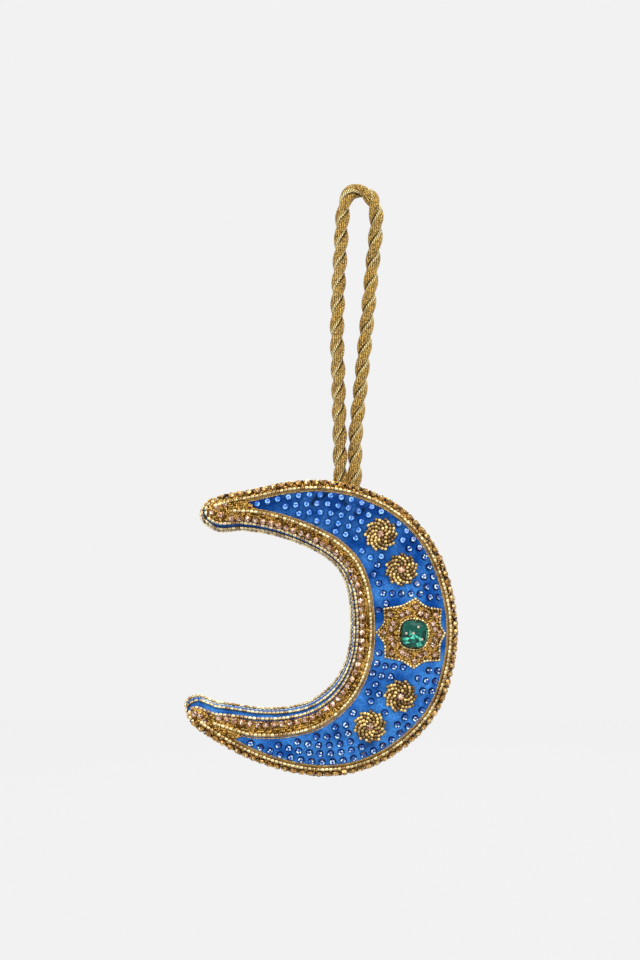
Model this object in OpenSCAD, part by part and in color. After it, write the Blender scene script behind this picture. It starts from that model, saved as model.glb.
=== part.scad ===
/* [Crescent] */
// Radius of the line that runs along the middle of the crescent
spine_r = 43.7; // [30:0.1:80]
// Width of the front panel across the belly
belly_w = 34.6; // [24:0.1:60]
// Depth of the side bands at the belly, from front seam to back seam
edge_d = 11; // [6:0.1:24]
// How far each stuffed panel swells past its seams at the belly
crown_h = 4.2; // [1:0.1:9]
// Thickness of the velvet
skin_t = 0.8; // [0.4:0.1:1.5]
// Thickness of the cotton cloth behind the embroidery
backing_t = 0.4; // [0.2:0.1:1]

/* [Borders] */
// Width of the beaded border along the inner seam
inner_border_w = 5.8; // [4.5:0.1:8]
// Width of the beaded border along the outer seam
rim_border_w = 2.3; // [1.8:0.1:4]
// Thickness of the couched gold bands under the border beads
band_t = 0.3; // [0.2:0.05:0.6]
// Diameter of a gold seed bead
seed_d = 1.45; // [1:0.05:2.2]
// Distance between seed beads in a row
seed_pitch = 1.56; // [1.1:0.01:2.6]
// Diameter of an outer rim crystal
rim_crystal_d = 2.3; // [1.5:0.1:3.2]
// Distance between outer rim crystals
rim_crystal_pitch = 3.12; // [2.4:0.01:4.5]
// Diameter of an inner border crystal
inner_crystal_d = 2.1; // [1.5:0.1:2.6]
// Distance between inner border crystals
inner_crystal_pitch = 2.9; // [2.7:0.01:4.5]
// Diameter of the couched gold threads
thread_d = 0.5; // [0.3:0.05:0.8]

/* [Stones and motifs] */
// Diameter of a blue flat-back stone
stone_d = 2.3; // [1.5:0.1:3]
// Height of a blue flat-back stone
stone_h = 1; // [0.5:0.1:1.6]
// Distance between stones along a row
stone_pitch = 3.9; // [3.2:0.05:6]
// Distance between rows of stones
stone_row_pitch = 3.2; // [2.8:0.05:6]
// Diameter of a bead rosette
rosette_d = 12.2; // [10:0.1:15]
// Number of curled bead strings in a rosette
rosette_arms = 9; // [7:1:11]
// Diameter of a rosette's heart crystal
heart_d = 2.6; // [1.8:0.1:3.2]
// Bare velvet between the medallion's side points and the borders
star_gap = 0.15; // [0.1:0.05:2]
// Diameter of a fine seed bead round the medallion and its stone
fine_seed_d = 1; // [0.7:0.05:1.4]
// Distance between fine seed beads in a row
fine_seed_pitch = 1.12; // [0.9:0.01:2]
// Height of the medallion's gold ground
ground_t = 0.6; // [0.3:0.1:1.2]
// Clearance on each side of the medallion's crystals
medallion_gap = 1; // [0.1:0.05:1.5]
// Diameter of a medallion crystal
star_crystal_d = 2; // [1.4:0.1:2.4]
// Clearance between the green stone and its bead ring
gem_gap = 0.1; // [0.05:0.05:1]
// Height of the green stone
gem_h = 3; // [2:0.1:5]

/* [Hanging loop] */
// Diameter of the twisted cord over both strands
cord_d = 5; // [3:0.1:5.2]
// Radius of the thread-bound bar that the cord ends are sewn to
bar_r = 1.1; // [0.8:0.05:1.6]
// Radius of the thread in a stitch
stitch_r = 0.3; // [0.2:0.05:0.5]
// Running clearance round the bar
bar_gap = 0.1; // [0.05:0.01:0.2]

/* [Hidden] */

// Rest gap between pieces that lie on each other
seat_gap = 0.06;
// Gap along the seams between the velvet pieces
seam_gap = 0.1;

// The outline: shares of spine_r and of half the belly's width, every 15 degrees round the crescent,
// from below the lower horn's tip, through the belly at 0, to past the upper horn's tip.
share_from = -165;
share_step = 15;
spine_shares = [1.10, 1.09, 1.087, 1.013, 0.990, 0.996, 1.023, 1.038, 1.038, 1.031, 1.005, 0.992,
  0.992, 1.011, 1.021, 1.005, 0.988, 0.988, 1.025, 1.118, 1.20, 1.28];
width_shares = [0.06, 0.09, 0.13, 0.278, 0.394, 0.516, 0.651, 0.784, 0.891, 0.979, 0.996, 1.0,
  0.968, 0.916, 0.829, 0.728, 0.621, 0.482, 0.336, 0.248, 0.22, 0.2];
// Angles of the tips of the front panel and how much of each end is rounded
tip_up = 126.2;
tip_low = -138.8;
tip_up_round = 4.6;
tip_low_round = 2.8;
// How much further the back panel reaches into the bay than the front one, and how far the side bands
// swell between their seams, as shares of the bands' depth
slant_share = 0.2;
swell_share = 0.045;
slant = slant_share * edge_d;
swell = swell_share * edge_d;
// Share of the slant by which the back panel's tips pass the front panel's
tip_slant_share = 1.15;
// Share of the side bands' depth that is left at a tip
tip_depth_share = 0.62;
// Power that shapes the swell across a panel: lower is fuller at the seams
crown_power = 0.8;
// Share by which the inner border is wider at the lower tip
low_border_share = 0.25;

// Stations along the crescent: angles that crowd together at the rounded tips
tip_steps = 5;
run_steps = 40;
end_share = 0.98;
stations = concat(
  [for (i = [0:tip_steps - 1]) tip_low + tip_low_round * (1 - end_share * cos(90 * i / tip_steps))],
  [for (i = [0:run_steps]) tip_low + tip_low_round
    + (tip_up - tip_up_round - tip_low - tip_low_round) * i / run_steps],
  [for (i = [tip_steps - 1:-1:0]) tip_up - tip_up_round * (1 - end_share * cos(90 * i / tip_steps))]);

function unit(v) = v / norm(v);
function mix(a, b, t) = a + (b - a) * t;
function spline(p, i, t) =
  (2 * p[i] + (p[i + 1] - p[i - 1]) * t
    + (2 * p[i - 1] - 5 * p[i] + 4 * p[i + 1] - p[i + 2]) * t * t
    + (3 * p[i] - p[i - 1] - 3 * p[i + 1] + p[i + 2]) * t * t * t) / 2;
function share_at(shares, a) =
  let (u = (a - share_from) / share_step, i = max(1, min(len(shares) - 3, floor(u))))
    spline(shares, i, u - i);
function end_round(a) =
  let (up = max(0, (a - tip_up + tip_up_round) / tip_up_round),
       low = max(0, (tip_low + tip_low_round - a) / tip_low_round))
    sqrt(max(0, 1 - pow(max(up, low), 2)));

// The back panel is stretched along the crescent, so that its tips pass the front panel's
back_stretch = 1 + tip_slant_share * slant / spine_r * 180 / PI / tip_up;
function stretch(face) = face > 0 ? back_stretch : 1;
function reach(face, a) = face > 0 ? slant * end_round(a) : 0;
function mid_r(face, a) = spine_r * share_at(spine_shares, a) - reach(face, a) / 2;
function half_w(face, a) = belly_w / 2 * share_at(width_shares, a) * end_round(a) + reach(face, a) / 2;
function edge_half(a) =
  edge_d / 2 * mix(tip_depth_share, 1, sqrt(max(0, share_at(width_shares, a))));
function crown(a) = crown_h * share_at(width_shares, a) * end_round(a);

// A point on the outside of a panel, or at a depth under it: face is -1 in front and 1 behind, a is
// the angle round the crescent, and s runs from -1 at the inner seam to 1 at the outer seam.
half_depth = edge_d / 2 + crown_h;
function panel_point(face, a, s, depth = 0) =
  let (b = a * (1 - depth / spine_r / (tip_up * PI / 180)),
       r = mid_r(face, a) + s * half_w(face, a) * (1 - 2 * depth / belly_w),
       y = face * (edge_half(a) + crown(a) * pow(max(0, 1 - s * s), crown_power)))
    [r * cos(b * stretch(face)), y * (1 - depth / half_depth), r * sin(b * stretch(face))];
function panel_normal(face, a, s) =
  let (t = max(-0.97, min(0.97, s)), da = 0.5, ds = 0.02,
       u = panel_point(face, a + da, t) - panel_point(face, a - da, t),
       v = panel_point(face, a, t + ds) - panel_point(face, a, t - ds))
    face * unit(cross(u, v));

// A point on a side band: side is -1 on the bay and 1 outside, and v runs from -1 in front to 1 behind
function band_point(side, a, v, depth = 0) =
  let (t = (v + 1) / 2,
       bulge = side * swell * end_round(a),
       r = mix(mid_r(-1, a) + side * half_w(-1, a) * (1 - 2 * depth / belly_w),
               mid_r(1, a) + side * half_w(1, a) * (1 - 2 * depth / belly_w), t)
           + bulge * (1 - v * v),
       b = a * (1 - depth / spine_r / (tip_up * PI / 180)) * mix(1, back_stretch, t))
    [r * cos(b), v * edge_half(a) * (1 - depth / half_depth), r * sin(b)];

// Across a panel the points crowd in the two borders. Where the crescent is narrow they share its width.
function inner_border(a) =
  min(inner_border_w * (1 + low_border_share * max(0, -a) / -tip_low), 1.15 * half_w(-1, a));
function rim_border(a) = min(rim_border_w, 0.5 * half_w(-1, a));
function from_inner(a, inset) = -1 + inset / max(half_w(-1, a), seat_gap);
function from_outer(a, inset) = 1 - inset / max(half_w(-1, a), seat_gap);
function across(a) =
  let (i = from_inner(a, inner_border(a)), o = from_outer(a, rim_border(a)))
    [-1, mix(-1, i, 0.5), i, mix(i, o, 0.28), mix(i, o, 0.55), mix(i, o, 0.8), o, 1];

// A closed sheet between two grids of points with the same rows and columns
module sheet(top, under) {
  rows = len(top);
  cols = len(top[0]);
  n = rows * cols;
  function id(k, j) = k * cols + j;
  points = concat([for (row = top) for (p = row) p], [for (row = under) for (p = row) p]);
  quads = concat(
    [for (k = [0:rows - 2]) for (j = [0:cols - 2])
      [id(k, j), id(k, j + 1), id(k + 1, j + 1), id(k + 1, j)]],
    [for (k = [0:rows - 2]) for (j = [0:cols - 2])
      [n + id(k + 1, j), n + id(k + 1, j + 1), n + id(k, j + 1), n + id(k, j)]],
    [for (k = [0:rows - 2]) [id(k, 0), id(k + 1, 0), n + id(k + 1, 0), n + id(k, 0)]],
    [for (k = [0:rows - 2])
      [id(k + 1, cols - 1), id(k, cols - 1), n + id(k, cols - 1), n + id(k + 1, cols - 1)]],
    [for (j = [0:cols - 2]) [id(0, j + 1), id(0, j), n + id(0, j), n + id(0, j + 1)]],
    [for (j = [0:cols - 2])
      [id(rows - 1, j), id(rows - 1, j + 1), n + id(rows - 1, j + 1), n + id(rows - 1, j)]]);
  polyhedron(points, [for (q = quads) each [[q[0], q[1], q[2]], [q[0], q[2], q[3]]]]);
}

// A closed solid through rings of points, with a flat fan at each end
module loft(rings) {
  n = len(rings[0]);
  last = (len(rings) - 1) * n;
  quads = [for (k = [0:len(rings) - 2]) for (j = [0:n - 1])
    [k * n + j, k * n + (j + 1) % n, (k + 1) * n + (j + 1) % n, (k + 1) * n + j]];
  polyhedron([for (ring = rings) for (p = ring) p], concat(
    [for (q = quads) each [[q[0], q[1], q[2]], [q[0], q[2], q[3]]]],
    [for (j = [1:n - 2]) [0, j + 1, j]],
    [for (j = [1:n - 2]) [last, last + j, last + j + 1]]));
}

// A round thread along a line of points
function thread_rings(path, r, sides) =
  [for (k = [0:len(path) - 1])
    let (t = unit(path[min(k + 1, len(path) - 1)] - path[max(k - 1, 0)]),
         u = unit(cross(t, [0, 1, 0])), w = cross(t, u))
      [for (j = [0:sides - 1]) path[k] + r * (cos(360 * j / sides) * u + sin(360 * j / sides) * w)]];

// The crescent hangs from the bar, so its centre follows from where the cord ends.
// The cord's route, hand-chosen: up the left leg, over the hook and down the right leg.
cord_route = [[-5.5, -101.5], [-5.6, -96], [-5.7, -88], [-6.0, -76], [-6.3, -64], [-6.7, -50], [-6.4, -38],
  [-5.8, -26], [-5.2, -16], [-4.8, -8], [-4.2, -3.2], [-3.2, 0.2], [-1.8, 2.1], [0, 2.8], [2.4, 2.9],
  [4.9, 1.8], [6.9, -0.8], [7.8, -4.6], [7.9, -9], [7.3, -17], [6.3, -26], [5.4, -36], [4.4, -46],
  [3.2, -58], [2.0, -70], [0.9, -80], [0.2, -88], [0, -96], [-0.1, -102.7]];
cord_fine = 2;
left_end = cord_route[0];
right_end = cord_route[len(cord_route) - 1];
leg_gap = norm(right_end - left_end);
root_tilt = atan2(left_end.y - right_end.y, right_end.x - left_end.x);
root_up = [sin(root_tilt), cos(root_tilt)];
ring_r_out = bar_r + bar_gap + 2 * stitch_r;
leg_lift = ring_r_out + 2 * bar_gap + cord_d / 2 * tan(abs(root_tilt));
root = (left_end + right_end) / 2 - root_up * leg_lift;
cord_angle = 67.3;
seam_drop = ring_r_out + bar_gap;
crest = band_point(1, cord_angle, 0);
centre = [root.x - crest.x - root_up.x * seam_drop, 0, root.y - crest.z - root_up.y * seam_drop];
echo(hinge_at = [root.x, 0, root.y], hinge_tilt = root_tilt, centre = centre);

module in_crescent() {
  translate(centre)
    children();
}
module at_root() {
  translate([root.x, 0, root.y])
    rotate([0, root_tilt, 0])
      children();
}
module aim(p, n) {
  translate(p)
    rotate([0, acos(n.z), atan2(n.y, n.x)])
      children();
}

// A point of the front panel under a place given as distances right of and above the crescent's centre
function front_share(x, z) =
  let (a = atan2(z, x), r = norm([x, z]))
    (r - mid_r(-1, a)) / half_w(-1, a);
function on_front(x, z, lift) =
  let (a = atan2(z, x), s = front_share(x, z))
    panel_point(-1, a, s) + lift * panel_normal(-1, a, s);
function front_normal(x, z) = panel_normal(-1, atan2(z, x), front_share(x, z));

// Even places along a line of points
function lengths(points) =
  [for (i = 0, d = 0; i < len(points);
    d = d + (i + 1 < len(points) ? norm(points[i + 1] - points[i]) : 0), i = i + 1) d];
function even_points(points, pitch) =
  let (ds = lengths(points), total = ds[len(ds) - 1], n = max(1, floor(total / pitch)),
       tables = [for (c = [0:len(points[0]) - 1]) [for (i = [0:len(ds) - 1]) [ds[i], points[i][c]]]])
    [for (k = [0:n]) [for (t = tables) lookup(total * k / n, t)]];

// Angles of the stations between two limits, with the limits themselves
function between(a_from, a_to) =
  concat([a_from], [for (a = stations) if (a > a_from + 0.5 && a < a_to - 0.5) a], [a_to]);

// Insets of the border rows from the seams
rim_seed_inset = rim_border_w - seed_d / 2;
rim_thread_inset = rim_border_w + thread_d / 2 + seat_gap;
rim_edge = rim_border_w + thread_d + 2 * seat_gap;
inner_crystal_inset = inner_crystal_d / 2 + seed_d * 0.4;
inner_thread_inset = inner_border_w - thread_d / 2;
inner_seed_inset = inner_border_w - thread_d - seat_gap - seed_d / 2;
inner_band_end = inner_border_w - thread_d - seat_gap;
on_band = band_t + 2 * seat_gap;
function inner_inset(a, inset) = inset * inner_border(a) / inner_border_w;

// Lines that the rows follow, each from the lower horn to the upper one
function rim_line(a_from, a_to, inset, lift) =
  [for (a = between(a_from, a_to))
    let (s = from_outer(a, min(inset, 0.6 * half_w(-1, a))))
      panel_point(-1, a, s) + lift * panel_normal(-1, a, s)];
function inner_line(a_from, a_to, inset, lift) =
  [for (a = between(a_from, a_to))
    let (s = from_inner(a, inner_inset(a, inset)))
      panel_point(-1, a, s) + lift * panel_normal(-1, a, s)];

// A line that runs proud of a seam's corner by a lift, half outward and half to the front or the back
function corner_line(seam, face, side, lift) =
  let (last = len(seam) - 1)
    [for (k = [0:last])
      let (t = unit(seam[min(k + 1, last)] - seam[max(k - 1, 0)]),
           out = side * unit(cross([0, 1, 0], t)))
        seam[k] + lift * unit(out + [0, face, 0])];

module beads(points, r) {
  for (p = points)
    translate(p)
      sphere(r = r, $fn = 16);
}

// Where the rows of the borders start and end
rim_from = -132;
rim_to = 121.5;
rim_thread_from = -128;
rim_thread_to = 119.5;
rim_crystals_from = -134;
rim_crystals_to = 114;
inner_seeds_from = -127;
inner_seeds_to = 117;
inner_thread_from = -122;
inner_thread_to = 114;
inner_crystals_from = -127;
inner_crystals_to = 118;
back_wrap = 13;

module rim_crystals() {
  seam = [for (a = between(rim_crystals_from, rim_crystals_to)) panel_point(-1, a, 1)];
  line = corner_line(seam, -1, 1, rim_crystal_d / 2 + seat_gap);
  color("rosybrown")
    in_crescent()
      beads(even_points(line, rim_crystal_pitch), rim_crystal_d / 2);
}
module rim_seed_row() {
  color("khaki")
    in_crescent()
      beads(even_points(rim_line(rim_from, rim_to, rim_seed_inset, on_band + seed_d / 2), seed_pitch),
        seed_d / 2);
}
module inner_crystals() {
  line = inner_line(inner_crystals_from, inner_crystals_to, inner_crystal_inset,
    on_band + inner_crystal_d / 2);
  color("rosybrown")
    in_crescent()
      beads(even_points(line, inner_crystal_pitch), inner_crystal_d / 2);
}
module inner_seed_row() {
  line = inner_line(inner_seeds_from, inner_seeds_to, inner_seed_inset, on_band + seed_d / 2);
  color("khaki")
    in_crescent()
      beads(even_points(line, seed_pitch), seed_d / 2);
}
module front_seam_seed_row() {
  seam = [for (a = stations) panel_point(-1, a, -1)];
  color("khaki")
    in_crescent()
      beads(even_points(corner_line(seam, -1, -1, seed_d / 2 + seat_gap), seed_pitch), seed_d / 2);
}

// A second row on the bay's side band, seen from the front beside the row on the back seam
bay_row_share = 0.75;
bay_row_end = 3;
function bay_row_v(a) =
  let (d = panel_point(-1, a, -1) - panel_point(1, a, -1))
    1 - 2 * bay_row_share * min(1, slant / norm([d.x, d.z]));
function bay_normal(a, v) =
  unit(cross(band_point(-1, a + 0.5, v) - band_point(-1, a - 0.5, v),
    band_point(-1, a, v + 0.02) - band_point(-1, a, v - 0.02)));
module bay_seed_row() {
  line = [for (a = between(tip_low + bay_row_end, tip_up - bay_row_end))
    let (v = bay_row_v(a))
      band_point(-1, a, v) + (seed_d / 2 + seat_gap) * bay_normal(a, v)];
  color("khaki")
    in_crescent()
      beads(even_points(line, seed_pitch), seed_d / 2);
}
module back_seam_seed_row() {
  n = len(stations);
  low_side = [for (k = [n - 1:-1:0]) if (stations[k] < tip_low + back_wrap) panel_point(1, stations[k], 1)];
  up_side = [for (k = [n - 1:-1:0]) if (stations[k] > tip_up - back_wrap) panel_point(1, stations[k], 1)];
  seam = concat(low_side, [for (a = stations) panel_point(1, a, -1)], up_side);
  color("khaki")
    in_crescent()
      beads(even_points(corner_line(seam, 1, -1, seed_d / 2 + seat_gap), seed_pitch), seed_d / 2);
}

// A flat gold band that follows the front panel between two insets
module rim_band() {
  starts = [0.22, 0.6, 0.96];
  rows = between(rim_from, rim_to);
  function at(a, share, lift) =
    let (s = from_outer(a, share * min(rim_border_w, 0.55 * half_w(-1, a))))
      panel_point(-1, a, s) + lift * panel_normal(-1, a, s);
  color("goldenrod")
    in_crescent()
      sheet([for (a = rows) [for (k = [2:-1:0]) at(a, starts[k], seat_gap + band_t)]],
            [for (a = rows) [for (k = [2:-1:0]) at(a, starts[k], seat_gap)]]);
}
module inner_band() {
  starts = [0.12, 0.4, 0.7, 1];
  rows = between(inner_seeds_from, inner_seeds_to);
  function at(a, share, lift) =
    let (s = from_inner(a, inner_inset(a, share * inner_band_end)))
      panel_point(-1, a, s) + lift * panel_normal(-1, a, s);
  color("goldenrod")
    in_crescent()
      sheet([for (a = rows) [for (k = [0:3]) at(a, starts[k], seat_gap + band_t)]],
            [for (a = rows) [for (k = [0:3]) at(a, starts[k], seat_gap)]]);
}
thread_sides = 6;
module rim_thread() {
  line = rim_line(rim_thread_from, rim_thread_to, rim_thread_inset, thread_d / 2 + seat_gap);
  color("goldenrod")
    in_crescent()
      loft(thread_rings(line, thread_d / 2, thread_sides));
}
module inner_thread() {
  line = inner_line(inner_thread_from, inner_thread_to, inner_thread_inset, thread_d / 2 + seat_gap);
  color("goldenrod")
    in_crescent()
      loft(thread_rings(line, thread_d / 2, thread_sides));
}

// Motifs: places as an angle round the crescent and a share of spine_r
rosette_angles = [45, 26.8, -31.9, -50.9];
rosette_across_shares = [0.583, 0.536, 0.557, 0.507];
medallion_angle = -3.4;
function field_in(a) = mid_r(-1, a) - half_w(-1, a) + inner_border(a);
function field_out(a) = mid_r(-1, a) + half_w(-1, a) - rim_edge;
function rosette_place(i) =
  let (a = rosette_angles[i])
    mix(field_in(a), field_out(a), rosette_across_shares[i]) * [cos(a), sin(a)];
star_tip_angles = [0, 41, 87, 139, 178, 220, 270, 314, 360];
star_tip_shares = [0.88, 1.02, 0.99, 1.07, 1.02, 1.02, 0.955, 1.04, 0.88];
star_dip_share = 0.16;
star_r = (belly_w - inner_border_w - rim_edge - 2 * star_gap) / (star_tip_shares[0] + star_tip_shares[4]);
medallion_place = (field_in(medallion_angle) + star_gap + star_tip_shares[4] * star_r)
  * [cos(medallion_angle), sin(medallion_angle)];
function star_radius(i, t) =
  star_r * mix(star_tip_shares[i], star_tip_shares[i + 1], t) * (1 - star_dip_share * sin(180 * t));
function star_angle(i, t) = mix(star_tip_angles[i], star_tip_angles[i + 1], t);
function star_reach(q) =
  let (p = (q + 360) % 360, i = max([for (k = [0:7]) if (star_tip_angles[k] <= p) k]),
       t = (p - star_tip_angles[i]) / (star_tip_angles[i + 1] - star_tip_angles[i]))
    star_radius(i, t);

// Blue stones in staggered rows that follow the outer border and stay clear of the motifs
stone_gap = 0.15;
stone_inset = rim_edge + stone_d / 2 + seat_gap;
stones_from = -113;
stones_to = 107;
function is_clear(x, z) =
  let (a = atan2(z, x), s = front_share(x, z), d = [x, z] - medallion_place)
    (1 + s) * half_w(-1, a) > inner_border(a) + stone_d / 2 + stone_gap
    && norm(d) > star_reach(atan2(d.y, d.x)) + stone_d / 2 + stone_gap
    && min([for (i = [0:3]) norm([x, z] - rosette_place(i))]) > rosette_d / 2 + stone_d / 2 + stone_gap;
stone_rows = floor((belly_w - stone_inset - inner_border_w) / stone_row_pitch) + 1;
function stone_row(j) =
  let (line = [for (a = [stones_from:2:stones_to])
         let (r = mid_r(-1, a) + half_w(-1, a) - stone_inset - j * stone_row_pitch)
           [r * cos(a), r * sin(a)]],
       half_step = j % 2 == 0 ? 0 : 1,
       places = even_points(line, stone_pitch / 2))
    [for (k = [half_step:2:len(places) - 1]) places[k]];
stone_places = [for (j = [0:stone_rows - 1]) for (p = stone_row(j)) if (is_clear(p.x, p.y)) p];
upper_from = 36;
lower_to = -41;
function stones_between(a_from, a_to) =
  [for (p = stone_places) let (a = atan2(p.y, p.x)) if (a >= a_from && a < a_to) p];
stone_top_share = 0.5;
module stones(places) {
  for (p = places)
    aim(on_front(p.x, p.y, seat_gap), front_normal(p.x, p.y))
      cylinder(h = stone_h, r1 = stone_d / 2, r2 = stone_top_share * stone_d / 2, $fn = 24);
}
module upper_stones() {
  color("mediumblue")
    in_crescent()
      stones(stones_between(upper_from, 180));
}
module belly_stones() {
  color("mediumblue")
    in_crescent()
      stones(stones_between(lower_to, upper_from));
}
module lower_stones() {
  color("mediumblue")
    in_crescent()
      stones(stones_between(-180, lower_to));
}

// A rosette's bead strings curl outward from a ring round its heart
rosette_curl = 26;
ring_first = max(heart_d / 2 + seed_d / 2 + 2 * seat_gap, seed_d * 1.03 / 2 / sin(180 / rosette_arms));
ring_last = rosette_d / 2 - seed_d / 2;
rosette_rings = max(2, floor((ring_last - ring_first) / (seed_d * 1.01)) + 1);
function rosette_ring(j) = mix(ring_first, ring_last, j / (rosette_rings - 1));
function rosette_beads() =
  [for (j = [0:rosette_rings - 1])
    let (r = rosette_ring(j), n = max(1, floor(2 * PI * r / rosette_arms / (seed_d * 1.06))))
      for (k = [0:rosette_arms * n - 1])
        let (q = 360 * k / rosette_arms / n + rosette_curl * j)
          r * [cos(q), sin(q)]];
module rosette_strings(i) {
  c = rosette_place(i);
  color("khaki")
    in_crescent()
      beads([for (b = rosette_beads()) on_front(c.x + b.x, c.y + b.y, seed_d / 2 + seat_gap)], seed_d / 2);
}
module rosette_heart(i) {
  c = rosette_place(i);
  color("rosybrown")
    in_crescent()
      beads([on_front(c.x, c.y, heart_d / 2 + seat_gap)], heart_d / 2);
}
module rosette_1_beads() {
  rosette_strings(0);
}
module rosette_2_beads() {
  rosette_strings(1);
}
module rosette_3_beads() {
  rosette_strings(2);
}
module rosette_4_beads() {
  rosette_strings(3);
}
module rosette_1_heart() {
  rosette_heart(0);
}
module rosette_2_heart() {
  rosette_heart(1);
}
module rosette_3_heart() {
  rosette_heart(2);
}
module rosette_4_heart() {
  rosette_heart(3);
}

// The medallion: a gold ground in the shape of a star, its outline, crystals, ring and green stone
function in_medallion(q, r, lift) =
  on_front(medallion_place.x + r * cos(q), medallion_place.y + r * sin(q), lift);
star_steps = 5;
ground_inset = fine_seed_d / 2 + 1.25 * (fine_seed_d / 2 + seat_gap);
module medallion_ground() {
  keys = [for (i = [0:7]) for (k = [0:star_steps - 1]) [i, k / star_steps]];
  n = len(keys);
  shares = [0.35, 0.7, 1];
  function layer(lift) =
    [for (share = shares) for (key = keys)
      in_medallion(star_angle(key[0], key[1]),
        share * (star_radius(key[0], key[1]) - ground_inset), lift)];
  rings = len(shares);
  points = concat(layer(seat_gap + ground_t), layer(seat_gap),
    [in_medallion(0, 0, seat_gap + ground_t), in_medallion(0, 0, seat_gap)]);
  base = rings * n;
  walls = [for (j = [0:n - 1]) let (i = (j + 1) % n) each concat(
    [[2 * base, i, j], [2 * base + 1, base + j, base + i]],
    [for (k = [0:rings - 2]) each [
      [k * n + j, k * n + i, (k + 1) * n + i], [k * n + j, (k + 1) * n + i, (k + 1) * n + j],
      [base + k * n + i, base + k * n + j, base + (k + 1) * n + j],
      [base + k * n + i, base + (k + 1) * n + j, base + (k + 1) * n + i]]],
    [[base - n + j, base - n + i, 2 * base - n + i], [base - n + j, 2 * base - n + i, 2 * base - n + j]])];
  color("goldenrod")
    in_crescent()
      polyhedron(points, walls);
}
outline_steps = 8;
module medallion_outline() {
  color("khaki")
    in_crescent()
      for (i = [0:7])
        let (line = [for (k = [0:outline_steps])
               in_medallion(star_angle(i, k / outline_steps),
                 star_radius(i, k / outline_steps) - fine_seed_d / 2, fine_seed_d / 2 + seat_gap)],
             places = even_points(line, fine_seed_pitch))
          beads([for (k = [0:len(places) - 2]) places[k]], fine_seed_d / 2);
}
on_ground = ground_t + 2 * seat_gap;
tip_crystal_share = 0.76;
ring_r = star_radius(0, 0.5) - 1.5 * fine_seed_d - star_crystal_d - 2 * medallion_gap;
function valley_crystal_r(i) = (ring_r + fine_seed_d / 2 + star_radius(i, 0.5) - fine_seed_d) / 2;
function valley_spread(i) = asin((star_crystal_d / 2 + seat_gap) / valley_crystal_r(i));
module medallion_crystals() {
  lift = on_ground + star_crystal_d / 2;
  color("rosybrown")
    in_crescent() {
      beads([for (i = [0:7]) in_medallion(star_angle(i, 0), tip_crystal_share * star_radius(i, 0), lift)],
        star_crystal_d / 2);
      beads([for (i = [0:7]) for (d = [-1, 1])
        in_medallion(star_angle(i, 0.5) + d * valley_spread(i), valley_crystal_r(i), lift)],
        star_crystal_d / 2);
    }
}
gem_l = 2 * (ring_r - fine_seed_d / 2 - gem_gap);
gem_w_share = 1.07;
gem_w = gem_w_share * gem_l;
gem_turn = -5;
gem_sides = 24;
gem_power = 2.6;
function cushion_reach(q, a, b) =
  pow(pow(abs(cos(q)) / a, gem_power) + pow(abs(sin(q)) / b, gem_power), -1 / gem_power);
ring_step = 6;
module medallion_ring() {
  wide = gem_l / 2 + gem_gap + fine_seed_d / 2;
  high = gem_w / 2 + gem_gap + fine_seed_d / 2;
  line = [for (q = [0:ring_step:360])
    in_medallion(q, cushion_reach(q - gem_turn, wide, high), on_ground + fine_seed_d / 2)];
  places = even_points(line, fine_seed_pitch);
  color("khaki")
    in_crescent()
      beads([for (k = [0:len(places) - 2]) places[k]], fine_seed_d / 2);
}
gem_profile_shares = [[0.86, 0], [1, 0.3], [0.96, 0.5], [0.62, 1]];
hole_r = stitch_r + bar_gap;
hole_shares = [[-0.59, 0.25], [-0.06, -0.66], [0.3, 0.62], [-0.1, -0.1]];
function gem_outline(share, h) =
  [for (k = [0:gem_sides - 1])
    let (q = 360 * k / gem_sides, r = share * cushion_reach(q, gem_w / 2, gem_l / 2))
      [r * cos(q), r * sin(q), h * gem_h]];
module at_gem() {
  c = medallion_place;
  in_crescent()
    aim(on_front(c.x, c.y, on_ground), front_normal(c.x, c.y))
      rotate([0, 0, gem_turn])
        children();
}
module medallion_gem() {
  color("teal")
    at_gem()
      difference() {
        loft([for (p = gem_profile_shares) gem_outline(p[0], p[1])]);
        for (h = hole_shares)
          translate([h.x * gem_w / 2, h.y * gem_l / 2, -seat_gap])
            cylinder(h = gem_h + 2 * seat_gap, r = hole_r, $fn = 24);
      }
}
module gem_stitches() {
  color("wheat")
    at_gem()
      for (h = hole_shares)
        translate([h.x * gem_w / 2, h.y * gem_l / 2, 0]) {
          cylinder(h = gem_h + seat_gap, r = stitch_r, $fn = 24);
          translate([0, 0, gem_h + seat_gap + stitch_r])
            sphere(r = 1.6 * stitch_r, $fn = 24);
        }
}

module front_panel() {
  color("royalblue")
    in_crescent()
      sheet([for (a = stations) [for (s = across(a)) panel_point(-1, a, s)]],
            [for (a = stations) [for (s = across(a)) panel_point(-1, a, s, skin_t)]]);
}
cut_share = 0.98;
function inside(a) = [for (s = across(a)) s * cut_share];
module embroidery_backing() {
  top = skin_t + 2 * seam_gap;
  color("ivory")
    in_crescent()
      sheet([for (a = stations) [for (s = inside(a)) panel_point(-1, a, s, top)]],
            [for (a = stations) [for (s = inside(a)) panel_point(-1, a, s, top + backing_t)]]);
}
back_across = [-1, -0.8, -0.5, -0.15, 0.15, 0.5, 0.8, 1];
module back_panel() {
  color("royalblue")
    in_crescent()
      sheet([for (a = stations) [for (s = back_across) panel_point(1, a, -s)]],
            [for (a = stations) [for (s = back_across) panel_point(1, a, -s, skin_t)]]);
}
band_across = [-1, -0.5, 0.5, 1];
function seam_share(a) = 1 - seam_gap / edge_half(a);
module inner_gusset() {
  color("royalblue")
    in_crescent()
      sheet([for (a = stations) [for (v = band_across) band_point(-1, a, -v * seam_share(a))]],
            [for (a = stations) [for (v = band_across) band_point(-1, a, -v * seam_share(a), skin_t)]]);
}
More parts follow.
